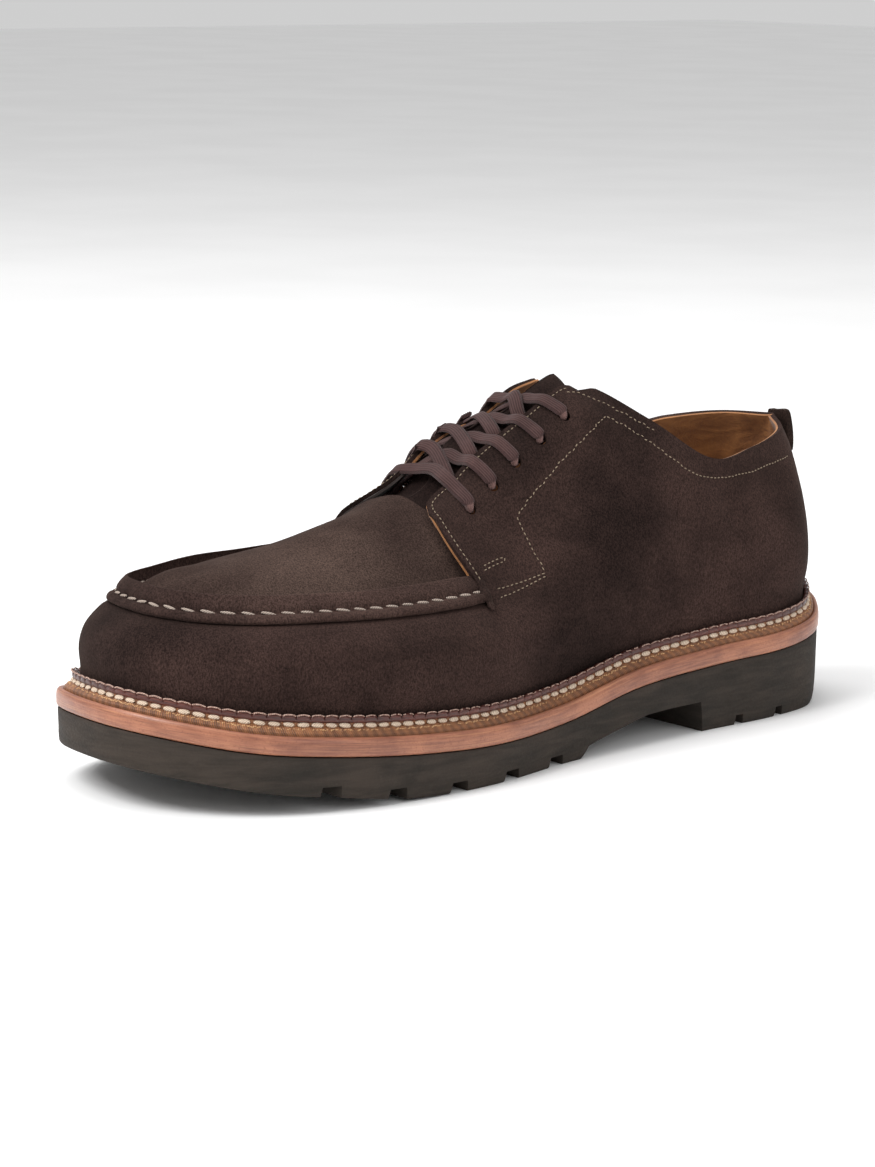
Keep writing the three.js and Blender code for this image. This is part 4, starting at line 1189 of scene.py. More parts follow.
def strip_leather(name, light, dark, pitch, slant):
    """The sewn strip: pressed slanting marks over oiled leather."""
    f = Finish(name, Coat_Weight=0.12, Coat_Roughness=0.4)
    flow = f.place((1, 1, 1), flow=True, turn=(0, 0, slant))
    marks = f.wave(flow, 0.5 / pitch, 1.2)
    fine = f.wave(flow, 2.4 / pitch, 2.5)
    patches = f.noise(f.place(), 70, 3, 0.6, 0.5)
    grain = f.noise(f.place(), 1100, 3, 0.6)
    mixed = f.mix(f.band(marks * 0.18 + patches * 0.52 + fine * 0.3, 0.25, 0.75), dark, light)
    specked = f.mix(f.band(grain, 0.55, 0.75) * 0.4, mixed, dark)
    height = marks * 0.3 + fine * 0.4 + grain * 0.3
    rough = f.band(grain, 0.3, 0.7, 0.42, 0.66)
    return f.set(Base_Color=specked, Roughness=rough, Normal=f.bump(height, 0.6, 0.0005)).material


def thread(name, light, dark, twist=0.0009):
    """Waxed thread, two strands twisted together."""
    f = Finish(name, Specular_IOR_Level=0.3)
    flow = f.place((1, 1, 1), flow=True, turn=(0, 0, 0.8))
    strands = f.wave(flow, 0.5 / twist, 0.6)
    fuzz = f.noise(f.place(), 2600, 3, 0.7)
    patches = f.noise(f.place(), 160, 2, 0.5)
    mixed = f.mix(f.band(strands * 0.5 + fuzz * 0.3 + patches * 0.2, 0.2, 0.72), dark, light)
    height = strands * 0.7 + fuzz * 0.3
    rough = f.band(fuzz, 0.3, 0.7, 0.6, 0.85)
    return f.set(Base_Color=mixed, Roughness=rough, Normal=f.bump(height, 0.6, 0.0003)).material


def rubber(name, light, dark):
    """Moulded rubber, matt, with bloom and small scuffs."""
    f = Finish(name, Specular_IOR_Level=0.16)
    at = f.place()
    cloud = f.noise(at, 26, 4, 0.6, 0.6)
    rub = f.noise(f.place((0.3, 0.3, 2.2)), 150, 4, 0.65, 0.5)
    grain = f.noise(at, 1400, 3, 0.6)
    mixed = f.mix(f.band(cloud * 0.5 + rub * 0.5, 0.35, 0.7), dark, light)
    worn = f.mix(f.band(f.noise(at, 260, 4, 0.7), 0.64, 0.8) * 0.3, mixed, tone("554d46"))
    height = grain * 0.6 + rub * 0.4
    rough = f.band(cloud * 0.4 + grain * 0.6, 0.35, 0.65, 0.6, 0.82)
    return f.set(Base_Color=worn, Roughness=rough, Normal=f.bump(height, 0.3, 0.0003)).material


def lining_leather(name, light, dark, throat_shade=None):
    """Soft tan lining: mottled, slightly wrinkled; painted dark in front on the inner side, as
    shade seen through the throat.
    """
    f = Finish(name, Sheen_Weight=0.15, Sheen_Roughness=0.5)
    at = f.place()
    clouds = f.noise(at, 38, 4, 0.6, 0.9)
    wrinkles = f.noise(f.place((1, 1, 2.4)), 95, 4, 0.6, 1.4)
    nap = f.noise(at, 1300, 3, 0.65)
    mixed = f.mix(f.band(clouds * 0.55 + wrinkles * 0.3 + nap * 0.15, 0.34, 0.66), dark, light)
    # Painted shade: the lining in front on the inner side is turned dark, for the shade seen
    # through the throat.
    if throat_shade:
        behind = f.band(f.part(at, "Y"), (y_of(0.55) - 3) * MM, y_of(0.55) * MM)
        beside = f.band(f.part(at, "X"), -0.004, 0.0)
        mixed = f.mix(1 - (1 - behind) * (1 - beside), throat_shade, mixed)
    height = wrinkles * 0.6 + nap * 0.15 + clouds * 0.25
    rough = f.band(nap, 0.3, 0.7, 0.72, 0.92)
    return f.set(Base_Color=mixed, Roughness=rough, Normal=f.bump(height, 0.5, 0.0012)).material


def cotton(name, light, dark, pale):
    """Flat woven lace: short slanting picks, fuzz, paler where it is pinched, which is a painted
    highlight.
    """
    f = Finish(name, Sheen_Weight=0.12, Sheen_Roughness=0.4, Specular_IOR_Level=0.2)
    picks = f.noise(f.place((0.5, 1, 1), flow=True, turn=(0, 0, 0.6)), 1900, 2, 0.6)
    other = f.noise(f.place((0.5, 1, 1), flow=True, turn=(0, 0, -0.6)), 1900, 2, 0.6)
    fuzz = f.noise(f.place(), 2300, 3, 0.7)
    wear = f.noise(f.place(), 120, 3, 0.6)
    pinch = Value(f, f.node("ShaderNodeAttribute", {"attribute_name": "pinch"}).outputs["Fac"])
    ribs = f.wave(f.place(flow=True), 383, 0.8, "Y")
    weave_at = picks * 0.2 + other * 0.2 + fuzz * 0.25 + ribs * 0.35
    mixed = f.mix(f.band(weave_at * 0.7 + wear * 0.3, 0.3, 0.66), dark, light)
    # Paler with fuzz and wear, and paler where pinched: the pinched part is a painted highlight at
    # the eyelets.
    worn = f.mix(f.band(fuzz * 0.5 + wear * 0.25 + pinch * 0.25, 0.42, 0.72) * 0.7, mixed, pale)
    rough = f.band(fuzz, 0.3, 0.7, 0.78, 0.95)
    return f.set(Base_Color=worn, Roughness=rough, Normal=f.bump(weave_at, 0.6, 0.0003)).material


def floor_finish():
    f = Finish("floor_paper", Roughness=0.9)
    cloud = f.noise(f.place(), 6, 3, 0.5)
    mixed = f.mix(f.band(cloud, 0.3, 0.7), (0.9, 0.9, 0.9, 1), (0.93, 0.93, 0.93, 1))
    return f.set(Base_Color=mixed).material


# Sizes and colours that a user would change
class ShoeSizes(bpy.types.PropertyGroup):
    suede_thick: FloatProperty(
        name="Suede", description="Thickness of the outer leather", default=1.4 * MM,
        min=0.5 * MM, max=2 * MM, unit="LENGTH")
    lining_proud: FloatProperty(
        name="Lining shows", description="How far the lining stands past the facings' edges",
        default=0.35 * MM, min=0.0, max=2 * MM, unit="LENGTH")
    welt_stitches: IntProperty(
        name="Welt stitches", description="Stitches round the welt", default=148, min=60, max=260)
    fine_pitch: FloatProperty(
        name="Fine stitch", description="Pitch of the fine stitching", default=1.85 * MM,
        min=1 * MM, max=4 * MM, unit="LENGTH")
    lace_ribs: IntProperty(
        name="Lace ribs", description="Lengthwise ribs of the lace", default=6, min=2, max=10)


def shade(title, code):
    return FloatVectorProperty(
        name=title, description="Colour of the " + title.lower(), subtype="COLOR", size=3,
        min=0.0, max=1.0, default=tone(code)[:3])


class ShoeColours(bpy.types.PropertyGroup):
    suede_light: shade("Brushed suede", "392a26")
    suede_dark: shade("Suede", "1c1412")
    lining: shade("Lining", "a8713f")
    lip: shade("Midsole edge", "ad7052")
    strip: shade("Sewn strip", "99633a")
    rib: shade("Pleated rib", "5a2418")
    rubber: shade("Rubber", "403832")
    lace: shade("Lace", "4a3432")
    stitches: shade("Welt stitches", "e2cfba")


class ShoePiece:
    """What every piece's operator shares."""

    bl_options = {"REGISTER", "UNDO"}

    def execute(self, context):
        self.make(context.scene.shoe_sizes)
        return {"FINISHED"}


PUNCH, LINING_PUNCH = 2.05, 4.3  # radius of the eyelets in the suede and in the lining, in mm
WORK = {}  # the quarters' panels and their tree, kept for the pieces that lie on them


def shell_of(panels, name, thick, gap=0.15):
    piece = joined([panel_piece(name, panel) for panel in panels], name)
    merge(piece, gap * MM)
    apply(piece, "SOLIDIFY", thickness=thick, offset=-1, use_even_offset=False, use_rim=True)
    return piece


def quarters():
    return [quarter_panel(side) for side in SIDES]


# Shares along that the forms over the throat reach, and their columns
CROWN_FROM, LINING_FRONT, CROWN_COLUMNS = 0.36, 0.66, 44


def carried_on(row_of, front, count):
    """A form of the upper part of the ribs, on both sides, carried on over the throat."""
    alongs = np.linspace(CROWN_FROM, front, count)
    return [Panel([row_of(along, side) for along in alongs], side, list(alongs)) for side in SIDES]


def upper_row(placed):
    """The part of a rib above its knee, evenly spaced."""
    return resample(placed[sum(LOW_STEPS):], CROWN_COLUMNS)


def crown_panels():
    """The facings' form carried on over the throat, for what crosses it."""
    def row(along, side):
        rib = Rib(along, side, "quarter")
        return drooped(upper_row(rib.place(spline(rib.points, LOW_STEPS + HIGH_STEPS))), side)

    return carried_on(row, STEP_AT - 0.001, 60)


def lining_panels():
    """The form of the facings' inner faces, carried on over the throat."""
    def row(along, side):
        rib, line = lining_line(along, side)
        return upper_row(rib.place(line))

    return carried_on(row, LINING_FRONT, 90)


def over(tree, x, along):
    """Point and outward way of a form, straight above a place in plan."""
    hit = tree.ray_cast(Vector((x, y_of(along), 300)), Vector((0, 0, -1)))
    if hit[0] is None:
        raise ValueError(f"nothing lies at {x:.1f} mm across, {along:.3f} along")
    normal = np.array(hit[1])
    return np.array(hit[0]), normal if normal[2] > 0 else -normal


# Where the frame shows the near eyelets
NEAR_HOLES = [(470.5, 509), (493, 485.5), (515.5, 462), (540.5, 439), (564.5, 415.5)]


def eyelet(tree, side, number):
    """Point and outward way of an eyelet; the near ones lie where the frame shows them."""
    if side == "lateral":
        hit = seen_at(*NEAR_HOLES[number], tree)
        return over(tree, hit[0], along_of(hit[1]))
    return over(tree, THROAT_MIDDLE - THROAT_HALF - EYELET_IN, EYELETS[number])


def cut_eyelets(piece, panels, radius):
    """Ten punched holes, cut by one cylinder each."""
    tree = tree_of(panels)
    cutters = []
    for number in range(len(EYELETS)):
        for side in SIDES:
            point, normal = eyelet(tree, side, number)
            turn = Vector(normal).to_track_quat("Z", "Y").to_euler()
            bpy.ops.object.select_all(action="DESELECT")
            bpy.ops.mesh.primitive_cylinder_add(
                vertices=28, radius=radius * MM, depth=12 * MM, rotation=turn,
                location=to_frame([point])[0])
            cutters.append(bpy.context.active_object)
    cutter = joined(cutters, "punch")
    place_is_in_mesh(cutter)
    apply(piece, "BOOLEAN", operation="DIFFERENCE", solver="EXACT", object=cutter)
    bpy.data.objects.remove(cutter, do_unlink=True)


class SHOE_OT_upper(ShoePiece, bpy.types.Operator):
    """Wall, quarters and facings in one sewn panel, with punched eyelets"""

    bl_idname = "shoe.upper"
    bl_label = "Upper panels"

    def make(self, sizes):
        panels = quarters()
        walls = [wall_panel(side) for side in SIDES]
        piece = shell_of(panels + walls, "upper_panels", sizes.suede_thick)
        cut_eyelets(piece, panels, PUNCH)
        smoothed(piece, 50)
        finish = suede("suede_brown", colour("suede_light"), colour("suede_dark"))
        finished(piece, finish, "upper_suede", "upper")
        WORK.update(zip(SIDES, panels))
        WORK["tree"] = tree_of(panels)


class SHOE_OT_apron(ShoePiece, bpy.types.Operator):
    """The apron over the toes, inside the raised seam"""

    bl_idname = "shoe.apron"
    bl_label = "Apron"

    def make(self, sizes):
        panels = rounded_over(*[plug_panel(side) for side in SIDES])
        piece = shell_of(panels, "apron", sizes.suede_thick, 0.1)
        smoothed(piece, 50)
        # Painted light: the apron's suede is a lighter copy of the upper's, for the light falling
        # on the top of the toe.
        finish = suede("suede_apron", tone("453731"), tone("281d1a"), 0.03)
        finished(piece, finish, "upper_suede")


APRON_STITCH, FOOT_STITCH = (4.7, 1.05, 1.0), (2.2, 0.75, 0.7)  # length, width, height in mm
APRON_SLANT = -0.17


class SHOE_OT_apron_seam(ShoePiece, bpy.types.Operator):
    """The raised hand-sewn seam round the apron, with its stitches"""

    bl_idname = "shoe.apron_seam"
    bl_label = "Raised seam"

    def make(self, sizes):
        rows = []
        for side in SIDES:
            spots = seam_path(side)
            part, travelled = [], 0.0
            for k, (along, here, out) in enumerate(spots):
                if k:
                    travelled += float(np.linalg.norm(here - spots[k - 1][1]))
                part.append(seam_section(along, side, travelled))
            rows.append(part)
        grid = np.array(rows[0] + rows[1][::-1][1:])
        seam = grid_piece("apron_seam", grid, closed=True, caps=True)
        merge(seam, outwards=True)
        smoothed(seam, 60)
        # Painted light: the seam's suede is a lighter copy of the upper's, for the light on its
        # ridge.
        finish = suede("suede_seam", tone("43332e"), tone("221816"), 0.08)
        finished(seam, finish, "upper_suede")
        stitches = []
        shape = thread_shape("stitch", 0.12)
        for side in SIDES:
            path, outs = list(zip(*seam_path(side)))[1:]
            stitches += row_of_stitches(path, outs, STITCH_PITCH, APRON_STITCH, 0.1,
                                        APRON_SLANT * SIGN[side], 0.12, 5)
            path, outs = list(zip(*seam_path(side, inside=True)))[1:]
            stitches += row_of_stitches(path, outs, STITCH_PITCH / 2, FOOT_STITCH, 0, 0, 0.1, 6)
        made = scattered("apron_stitches", shape, stitches)
        smoothed(made)
        finished(made, thread("thread_grey", tone("b6a79b"), tone("6a5b52")), "upper_suede")


class SHOE_OT_seam_ends(ShoePiece, bpy.types.Operator):
    """The folded ends of the raised seam, tucked under the facings"""

    bl_idname = "shoe.seam_ends"
    bl_label = "Seam ends"

    def make(self, sizes):
        folds = []
        rng = random.Random(8)
        for side in SIDES:
            rows = []
            for k in range(26):
                t = k / 25
                along = STEP_AT + 0.004 - 0.006 * t
                rib = Rib(along, side, "vamp")
                edge, _, _, way, normal = seam_frame(rib)
                middle = rib.place(np.array([edge + way * (-0.42 + 1.45 * t) + normal * 0.6]))[0]
                out = rib.place(np.array([edge + normal]))[0] - rib.place(np.array([edge]))[0]
                swell = math.sin(math.pi * min(max(t, 0.03), 0.97)) ** 0.45
                size = swell * (1 + 0.16 * math.sin(t * 17 + 1) + 0.1 * rng.random())
                ring = []
                for m in range(14):
                    turn = 2 * math.pi * m / 14
                    wide = 1.7 * size * math.cos(turn)
                    proud = 1.25 * size * math.sin(turn) + 0.15 * math.sin(3 * turn + 9 * t)
                    ring.append(middle + np.array([0, wide, 0]) + out * proud)
                rows.append(ring)
            folds.append(grid_piece("seam_ends", rows, closed=True, caps=True))
        piece = joined(folds, "seam_ends")
        merge(piece, outwards=True)
        smoothed(piece, 70)
        finished(piece, suede("suede_fold", tone("382a26"), tone("1c1412"), 0.08), "upper_suede")


LINING_IN, LINING_FRONT_IN = 0.06, 0.9  # mm inside the suede, and so much more in front
LINING_THICK = 0.75


class SHOE_OT_lining(ShoePiece, bpy.types.Operator):
    """Tan lining inside the whole upper; its edge shows along the facings and the collar"""

    bl_idname = "shoe.lining"
    bl_label = "Lining"

    def make(self, sizes):
        inside = sizes.suede_thick / MM + LINING_IN
        proud = sizes.lining_proud / MM
        pieces = []
        fronts = rounded_over(*[vamp_lining_panel(side) for side in SIDES])
        for side, front in zip(SIDES, fronts):
            back = quarter_panel(side, extra=proud)
            back.points = back.moved(-inside)
            back.points[-1, 24:] += np.array([0, -0.6 * proud, 0])
            pieces.append(panel_piece("lining", back))
            front.points = front.moved(-inside - LINING_FRONT_IN)
            pieces.append(panel_piece("lining", front))
        piece = joined(pieces, "lining")
        merge(piece, 0.2 * MM)
        apply(piece, "SOLIDIFY", thickness=LINING_THICK * MM, offset=-1, use_even_offset=False)
        cut_eyelets(piece, [WORK[side] for side in SIDES], LINING_PUNCH)
        smoothed(piece, 50)
        light = colour("lining")
        # Painted shade: the last tone darkens the lining in front on the inner side, for the shade
        # seen through the throat.
        finish = lining_leather("lining_tan", light, tone("6b4020"), tone("2a1f1a"))
        finished(piece, finish, "insole_leather")


SOCK_LEVELS = [(2, 0), (2, 0.6), (2.6, 0.85), (4, 1)]  # gaps in from the wall, share of height


class SHOE_OT_insole(ShoePiece, bpy.types.Operator):
    """Leather sock on the insole"""

    bl_idname = "shoe.insole"
    bl_label = "Insole"

    def make(self, sizes):
        levels = [
            (lambda a, s, g=g: welt_width(a, s) + WALL + g * GAP,
             on_stack(MIDSOLE + GAP + rise * INSOLE))
            for g, rise in SOCK_LEVELS
        ]
        piece = slab_piece("insole_sock", levels, 90)
        smoothed(piece, 40)
        finish = lining_leather("sock_tan", tone("8d5e34"), tone("5a3820"))
        finished(piece, finish, "insole_leather", "insole")


MIDSOLE_LEVELS = [  # share of the welt's width in from the edge, share of the midsole's height
    (0.1, 0.0), (0.03, 0.06), (0.0, 0.16), (-0.01, 0.45), (0.0, 0.74), (0.02, 0.9), (0.06, 1.03),
    (0.12, 1.12), (0.19, 1.15), (0.26, 1.13), (0.315, 1.07), (0.34, 1.0),
]


class SHOE_OT_midsole(ShoePiece, bpy.types.Operator):
    """Leather midsole with a rounded lip"""

    bl_idname = "shoe.midsole"
    bl_label = "Midsole"

    def make(self, sizes):
        levels = [(lip(share), on_stack(rise * MIDSOLE)) for share, rise in MIDSOLE_LEVELS]
        piece = slab_piece("midsole_lip", levels, 190)
        smoothed(piece, 60)
        finish = edge_leather("edge_waxed", colour("lip"), tone("74412f"), tone("c08a60"))
        finished(piece, finish, "midsole_leather", "midsole")


STRIP_SECTION = [  # share of the width of the welt, share of its rise
    (0.33, 0.46), (0.35, 0.56), (0.42, 0.6), (0.52, 0.645), (0.61, 0.69), (0.655, 0.7),
    (0.67, 0.665), (0.7, 0.7), (0.715, 0.8), (0.75, 0.84), (0.9, 0.86),
]
RIB_SECTION = [  # share of the width, share of the rise, how far a pleat moves it out and up, in mm
    (0.745, 0.785, 0.0, 0.0), (0.705, 0.80, 0.2, 0.0), (0.675, 0.85, 0.35, 0.1),
    (0.68, 0.905, 0.45, 0.45), (0.71, 0.945, 0.45, 0.85), (0.76, 0.955, 0.2, 1.1),
    (0.83, 0.95, 0.0, 1.05), (0.92, 0.93, 0.0, 0.5), (0.95, 0.85, 0.0, 0.0),
]


PLEAT_POINTS = 12  # across each fold of the pleated edge
THREAD_AT = (0.672, 0.745)  # where the threads over the pleats lie: out, and up the strip
THREAD_SIZE = (3.9, 1.75, 1.2)  # length, width and height in mm


class SHOE_OT_welt(ShoePiece, bpy.types.Operator):
    """Sewn strip, pleated rib and their threads"""

    bl_idname = "shoe.welt"
    bl_label = "Welt"

    def ring(self, name, section, steps):
        rows = []
        for share, rise in section:
            loop = loop_spots(share, rise * WELT_RISE)
            rows.append(evenly(loop, steps)[0])
        return grid_piece(name, np.array(rows).transpose(1, 0, 2), closed_rows=True, closed=True)

    def make(self, sizes):
        count = sizes.welt_stitches
        inner = 1 - 1.5 * GAP / WELT_WIDTH
        floor = (MIDSOLE + GAP) / WELT_RISE
        closed = STRIP_SECTION + [(inner, 0.86), (inner, floor), (0.385, floor)]
        strip = self.ring("welt_strip", closed, 520)
        merge(strip, outwards=True)
        smoothed(strip, 40)
        length = length_of(loop_spots(0.6, 8))
        finish = strip_leather("strip_oiled", colour("strip"), tone("54301a"), length / count * MM,
                               0.5)
        finished(strip, finish, "welt_leather", "welt")
        self.pleats(count)
        self.threads(count)

    def pleats(self, count):
        per = PLEAT_POINTS
        rng = random.Random(3)
        sizes_of = [1 + 0.22 * (rng.random() - 0.5) for _ in range(count)]
        rows = []
        for share, rise, out_by, up_by in RIB_SECTION:
            made, _, out = evenly(loop_spots(share, rise * WELT_RISE), count * per)
            phase = (np.arange(count * per) % per) / per
            bump = np.sqrt(np.clip(1 - (2 * phase - 1) ** 2, 0, 1)) ** 0.9 - 0.55
            bump *= np.repeat(sizes_of, per)
            moved = made + out * (bump * out_by)[:, None]
            moved[:, 2] += bump * up_by
            rows.append(moved)
        rib = grid_piece("welt_rib", np.array(rows).transpose(1, 0, 2), closed_rows=True,
                         closed=True)
        merge(rib, outwards=True)
        smoothed(rib, 50)
        finish = edge_leather("rib_waxed", colour("rib"), tone("35140e"), tone("8a4a38"))
        finished(rib, finish, "welt_leather")

    def threads(self, count):
        shape = thread_shape("stitch", 0.1)
        rng = random.Random(11)
        loop = loop_spots(THREAD_AT[0], THREAD_AT[1] * WELT_RISE)
        spots = []
        for middle, ahead, out in zip(*evenly(loop, count, 0.5)):
            face = out * 0.75 + np.array([0, 0, 0.66])
            size = np.array(THREAD_SIZE) * (1 + 0.14 * (rng.random() - 0.5))
            tip = ahead + np.array([0, 0, 0.12 * (rng.random() - 0.5)])
            spots.append((middle, tip, face, size))
        cream = scattered("welt_stitches", shape, spots)
        smoothed(cream)
        finished(cream, thread("thread_cream", colour("stitches"), tone("a8907a")), "welt_leather")
        spots = []
        loop = loop_spots(0.53, 0.648 * WELT_RISE)
        for k, (middle, ahead, out) in enumerate(zip(*evenly(loop, 3 * count, 0.2))):
            face = out * 0.45 + np.array([0, 0, 0.9])
            slant = ahead + 0.55 * np.cross(face, ahead) * (1 if k % 3 else -0.4)
            size = np.array([1.7, 0.55, 0.6]) * (1 + 0.5 * (rng.random() - 0.5))
            away = 0.5 * (rng.random() - 0.5) * out
            spots.append((middle + away - face * 0.1, slant, face, size))
        buried = scattered("groove_stitches", shape, spots)
        smoothed(buried)
        finished(buried, thread("thread_buried", tone("cfa67c"), tone("8a5c34")), "welt_leather")
        self.wrapping(count, shape, rng)

    def wrapping(self, count, shape, rng):
        """Light twisted thread over the top of each pleat, fullest at the toe and the heel; partly
        real thread, partly a painted highlight on the pleats' tops.
        """
        loop = loop_spots(0.70, 0.955 * WELT_RISE)
        per = 6
        made, ahead, out = evenly(loop, count * per)
        spots = []
        for k in range(count):
            along = along_of(made[k * per][1])
            full = 0.55 + 0.45 * max(smooth(0.72, 0.9, along), 1 - smooth(0.08, 0.3, along))
            for m in range(1, per):
                phase = m / per
                rise = math.sqrt(max(0, 1 - (2 * phase - 1) ** 2))
                if rng.random() > full + 0.2:
                    continue
                i = k * per + m
                slope = -(2 * phase - 1) * 0.9
                way = ahead[i] + np.array([0, 0, slope * 0.55])
                lift = np.array([0, 0, rise * 0.95 - 0.35])
                middle = made[i] + out[i] * (0.5 * rise - 0.05) + lift
                size = np.array([1.25, 0.5, 0.5]) * (0.6 + 0.5 * full)
                spots.append((middle, way, out[i] + np.array([0, 0, 0.7]), size))
        # Painted highlight: the pale threads partly stand for the highlight on the pleats' tops.
        wraps = scattered("rib_threads", shape, spots)
        smoothed(wraps)
        finished(wraps, thread("thread_rib", tone("c2a698"), tone("6e4a3e")), "welt_leather")


RUBBER_LEVELS = [  # mm in from the sole's edge, extra at the back of the heel, share of the height
    (1.3, 5.0, 0), (0.86, 2.8, 0.05), (0.74, 1.1, 0.13), (0.64, 0.25, 0.28), (0.6, 0, 0.5),
    (0.48, 0, 0.8), (0.45, 0, 0.96), (0.7, 0, 1),
]
BREAST = 0.276
ARCH = [(0.0, -0.1), (0.005, 0.44), (0.054, 0.43), (0.089, 0.41), (0.134, 0.3), (0.171, 0.21),
        (0.186, 0.17), (0.207, -0.1)]
GROOVES = [0.52, 0.598, 0.677, 0.758, 0.835]
NOTCHES = [0.152, 0.219]


class SHOE_OT_outsole(ShoePiece, bpy.types.Operator):
    """Rubber outsole with a heel, a raised waist, cross grooves and heel notches"""

    bl_idname = "shoe.outsole"
    bl_label = "Outsole"

    def groove(self, along, wide, low, high):
        """A block with one steep and one slanted flank, from x = low to x = high, in mm."""
        roof = ground_at(along) + LUG
        deep = roof + LUG
        bpy.ops.object.select_all(action="DESELECT")
        bpy.ops.mesh.primitive_cube_add(size=1, location=(
            ((low + high) / 2 + SHIFT) * MM, y_of(along) * MM, (roof - deep / 2) * MM))
        block = bpy.context.active_object
        block.scale = ((high - low) * MM, wide * MM, deep * MM)
        bpy.ops.object.transform_apply(location=False, rotation=False, scale=True)
        top = max(v.co.z for v in block.data.vertices) - 1e-6
        for vertex in block.data.vertices:
            if vertex.co.z > top:
                vertex.co.y *= 0.85 if vertex.co.y > 0 else 0.55
        place_is_in_mesh(block)
        return block

    def make(self, sizes):
        def between(share):
            return lambda a: ground_at(a) + share * (stack_at(a) - GAP - ground_at(a))

        levels = [
            (lambda a, s, i=inset, h=heel: i + h * math.exp(-((a / 0.045) ** 2)), between(rise))
            for inset, heel, rise in RUBBER_LEVELS
        ]
        sole = slab_piece("outsole_rubber", levels, 150)
        profile = [(y_of(BREAST + a), up * HEEL_STACK) for a, up in ARCH]
        points = [(x, y, z) for x in (-BALL_WIDTH, BALL_WIDTH) for y, z in profile]
        count = len(profile)
        faces = [tuple(range(count)), tuple(range(2 * count - 1, count - 1, -1))]
        faces += [(k, k + count, (k + 1) % count + count, (k + 1) % count) for k in range(count)]
        arch = piece_of("arch", points, faces)
        merge(arch, outwards=True)
        cutters = [arch]
        for along in GROOVES:
            cutters.append(self.groove(along, 0.029 * LENGTH, -BALL_WIDTH, BALL_WIDTH))
        for along in NOTCHES:
            for side in SIDES:
                inner = 0.68 * edge_point(along, side)[0]
                ends = sorted((inner, SIGN[side] * BALL_WIDTH))
                cutters.append(self.groove(along, 0.016 * LENGTH, *ends))
        for cutter in cutters:
            apply(sole, "BOOLEAN", operation="DIFFERENCE", solver="EXACT", object=cutter)
            bpy.data.objects.remove(cutter, do_unlink=True)
        apply(sole, "BEVEL", width=0.35 * MM, segments=2, limit_method="ANGLE",
              angle_limit=math.radians(42), harden_normals=False)
        smoothed(sole, 38)
        finish = rubber("rubber_moulded", colour("rubber"), tone("2a2622"))
        finished(sole, finish, "outsole_rubber", "outsole")


TONGUE_HALF, TONGUE_POINTS = 22, 24  # half width in mm, spans across
TONGUE_TIP = [  # share of the length back, share of the instep up, share of the width left
    (0.01, 0.014, 0.985), (0.02, 0.026, 0.93), (0.028, 0.036, 0.84), (0.034, 0.043, 0.72),
    (0.039, 0.0475, 0.57), (0.0425, 0.05, 0.4), (0.0445, 0.0515, 0.22), (0.045, 0.052, 0.07),
]
TONGUE_STOPS = [0.655, 0.63, 0.605, 0.59, 0.578, 0.56, 0.54, 0.52, 0.495, 0.47, 0.445, 0.425]


class SHOE_OT_tongue(ShoePiece, bpy.types.Operator):
    """Padded suede tongue under the lace"""

    bl_idname = "shoe.tongue"
    bl_label = "Tongue"

    def make(self, sizes):
        tree = bridged_tree(*lining_panels())
        stops = resample(np.array([[a, 0.0] for a in TONGUE_STOPS]), 40)[:, 0]
        rows = []
        for along in stops:
            room = LACE_ROOM + (SLIP - LACE_ROOM) * smooth(LEVEL_FROM, LEVEL_TO, along)
            half = TONGUE_HALF * (0.8 + 0.2 * (1 - smooth(0.6, 0.63, along)))
            face, back = [], []
            for k in range(TONGUE_POINTS + 1):
                aside = 1 - 2 * k / TONGUE_POINTS
                point, normal = over(tree, THROAT_MIDDLE + half * aside, along)
                thin = 1 - 0.55 * abs(aside) ** 8
                low = WALL + room + 2.5 * math.exp(-(((along - 0.567) / 0.02) ** 2))
                face.append(point - normal * (low + TONGUE * (1 - thin) / 2))
                back.append(point - normal * (low + TONGUE * (1 + thin) / 2))
            rows.append(face + back[::-1])
        last = np.array(rows[-1])
        half_way = TONGUE_POINTS // 2
        middle = (last[half_way] + last[-half_way - 1]) / 2
        for share, rise, width in TONGUE_TIP:
            moved = middle + (last - middle) * width
            moved[:, 1] += share * LENGTH
            moved[:, 2] += rise * INSTEP
            rows.append(moved)
        piece = grid_piece("tongue_pad", np.array(rows), closed=True, caps=True)
        merge(piece, outwards=True)
        apply(piece, "SUBSURF", levels=1, render_levels=1)
        smoothed(piece)
        # Painted shade: the tongue's suede is a darker copy of the upper's, for the shade under the
        # lace and the facings.
        finish = suede("suede_tongue", tone("322622"), tone("18100f"))
        finished(piece, finish, "tongue_suede", "tongue")


class SHOE_OT_tab(ShoePiece, bpy.types.Operator):
    """Small folded tab at the back of the collar"""

    bl_idname = "shoe.tab"
    bl_label = "Heel tab"

    def make(self, sizes):
        low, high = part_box("heel_tab")
        middle, size = (low + high) / 2, high - low
        bpy.ops.object.select_all(action="DESELECT")
        bpy.ops.mesh.primitive_cube_add(size=1, location=middle)
        piece = bpy.context.active_object
        piece.name = "tab_roll"
        piece.scale = size
        bpy.ops.object.transform_apply(location=True, rotation=False, scale=True)
        bpy.ops.object.mode_set(mode="EDIT")
        bpy.ops.mesh.select_all(action="SELECT")
        bpy.ops.mesh.subdivide(number_cuts=5)
        bpy.ops.object.mode_set(mode="OBJECT")
        for vertex in piece.data.vertices:
            x, y, z = ((vertex.co[k] - middle[k]) / size[k] * 2 for k in range(3))
            lean = 0.00115 * z - 0.0006
            puff = 1 - 0.22 * z * z
            vertex.co.x = middle.x + size.x / 2 * x * (1 - 0.12 * z * z)
            vertex.co.y = middle.y + size.y / 2 * (y * puff * 0.72 * (1 - 0.18 * x * x)) - lean
            vertex.co.z += size.z * 0.02 * math.sin(3 * x)
        apply(piece, "SUBSURF", levels=2, render_levels=2)
        smoothed(piece)
        finished(piece, suede("suede_tab", tone("30241f"), tone("160f0e"), 0.05), "tab_suede",
                 "heel_tab")


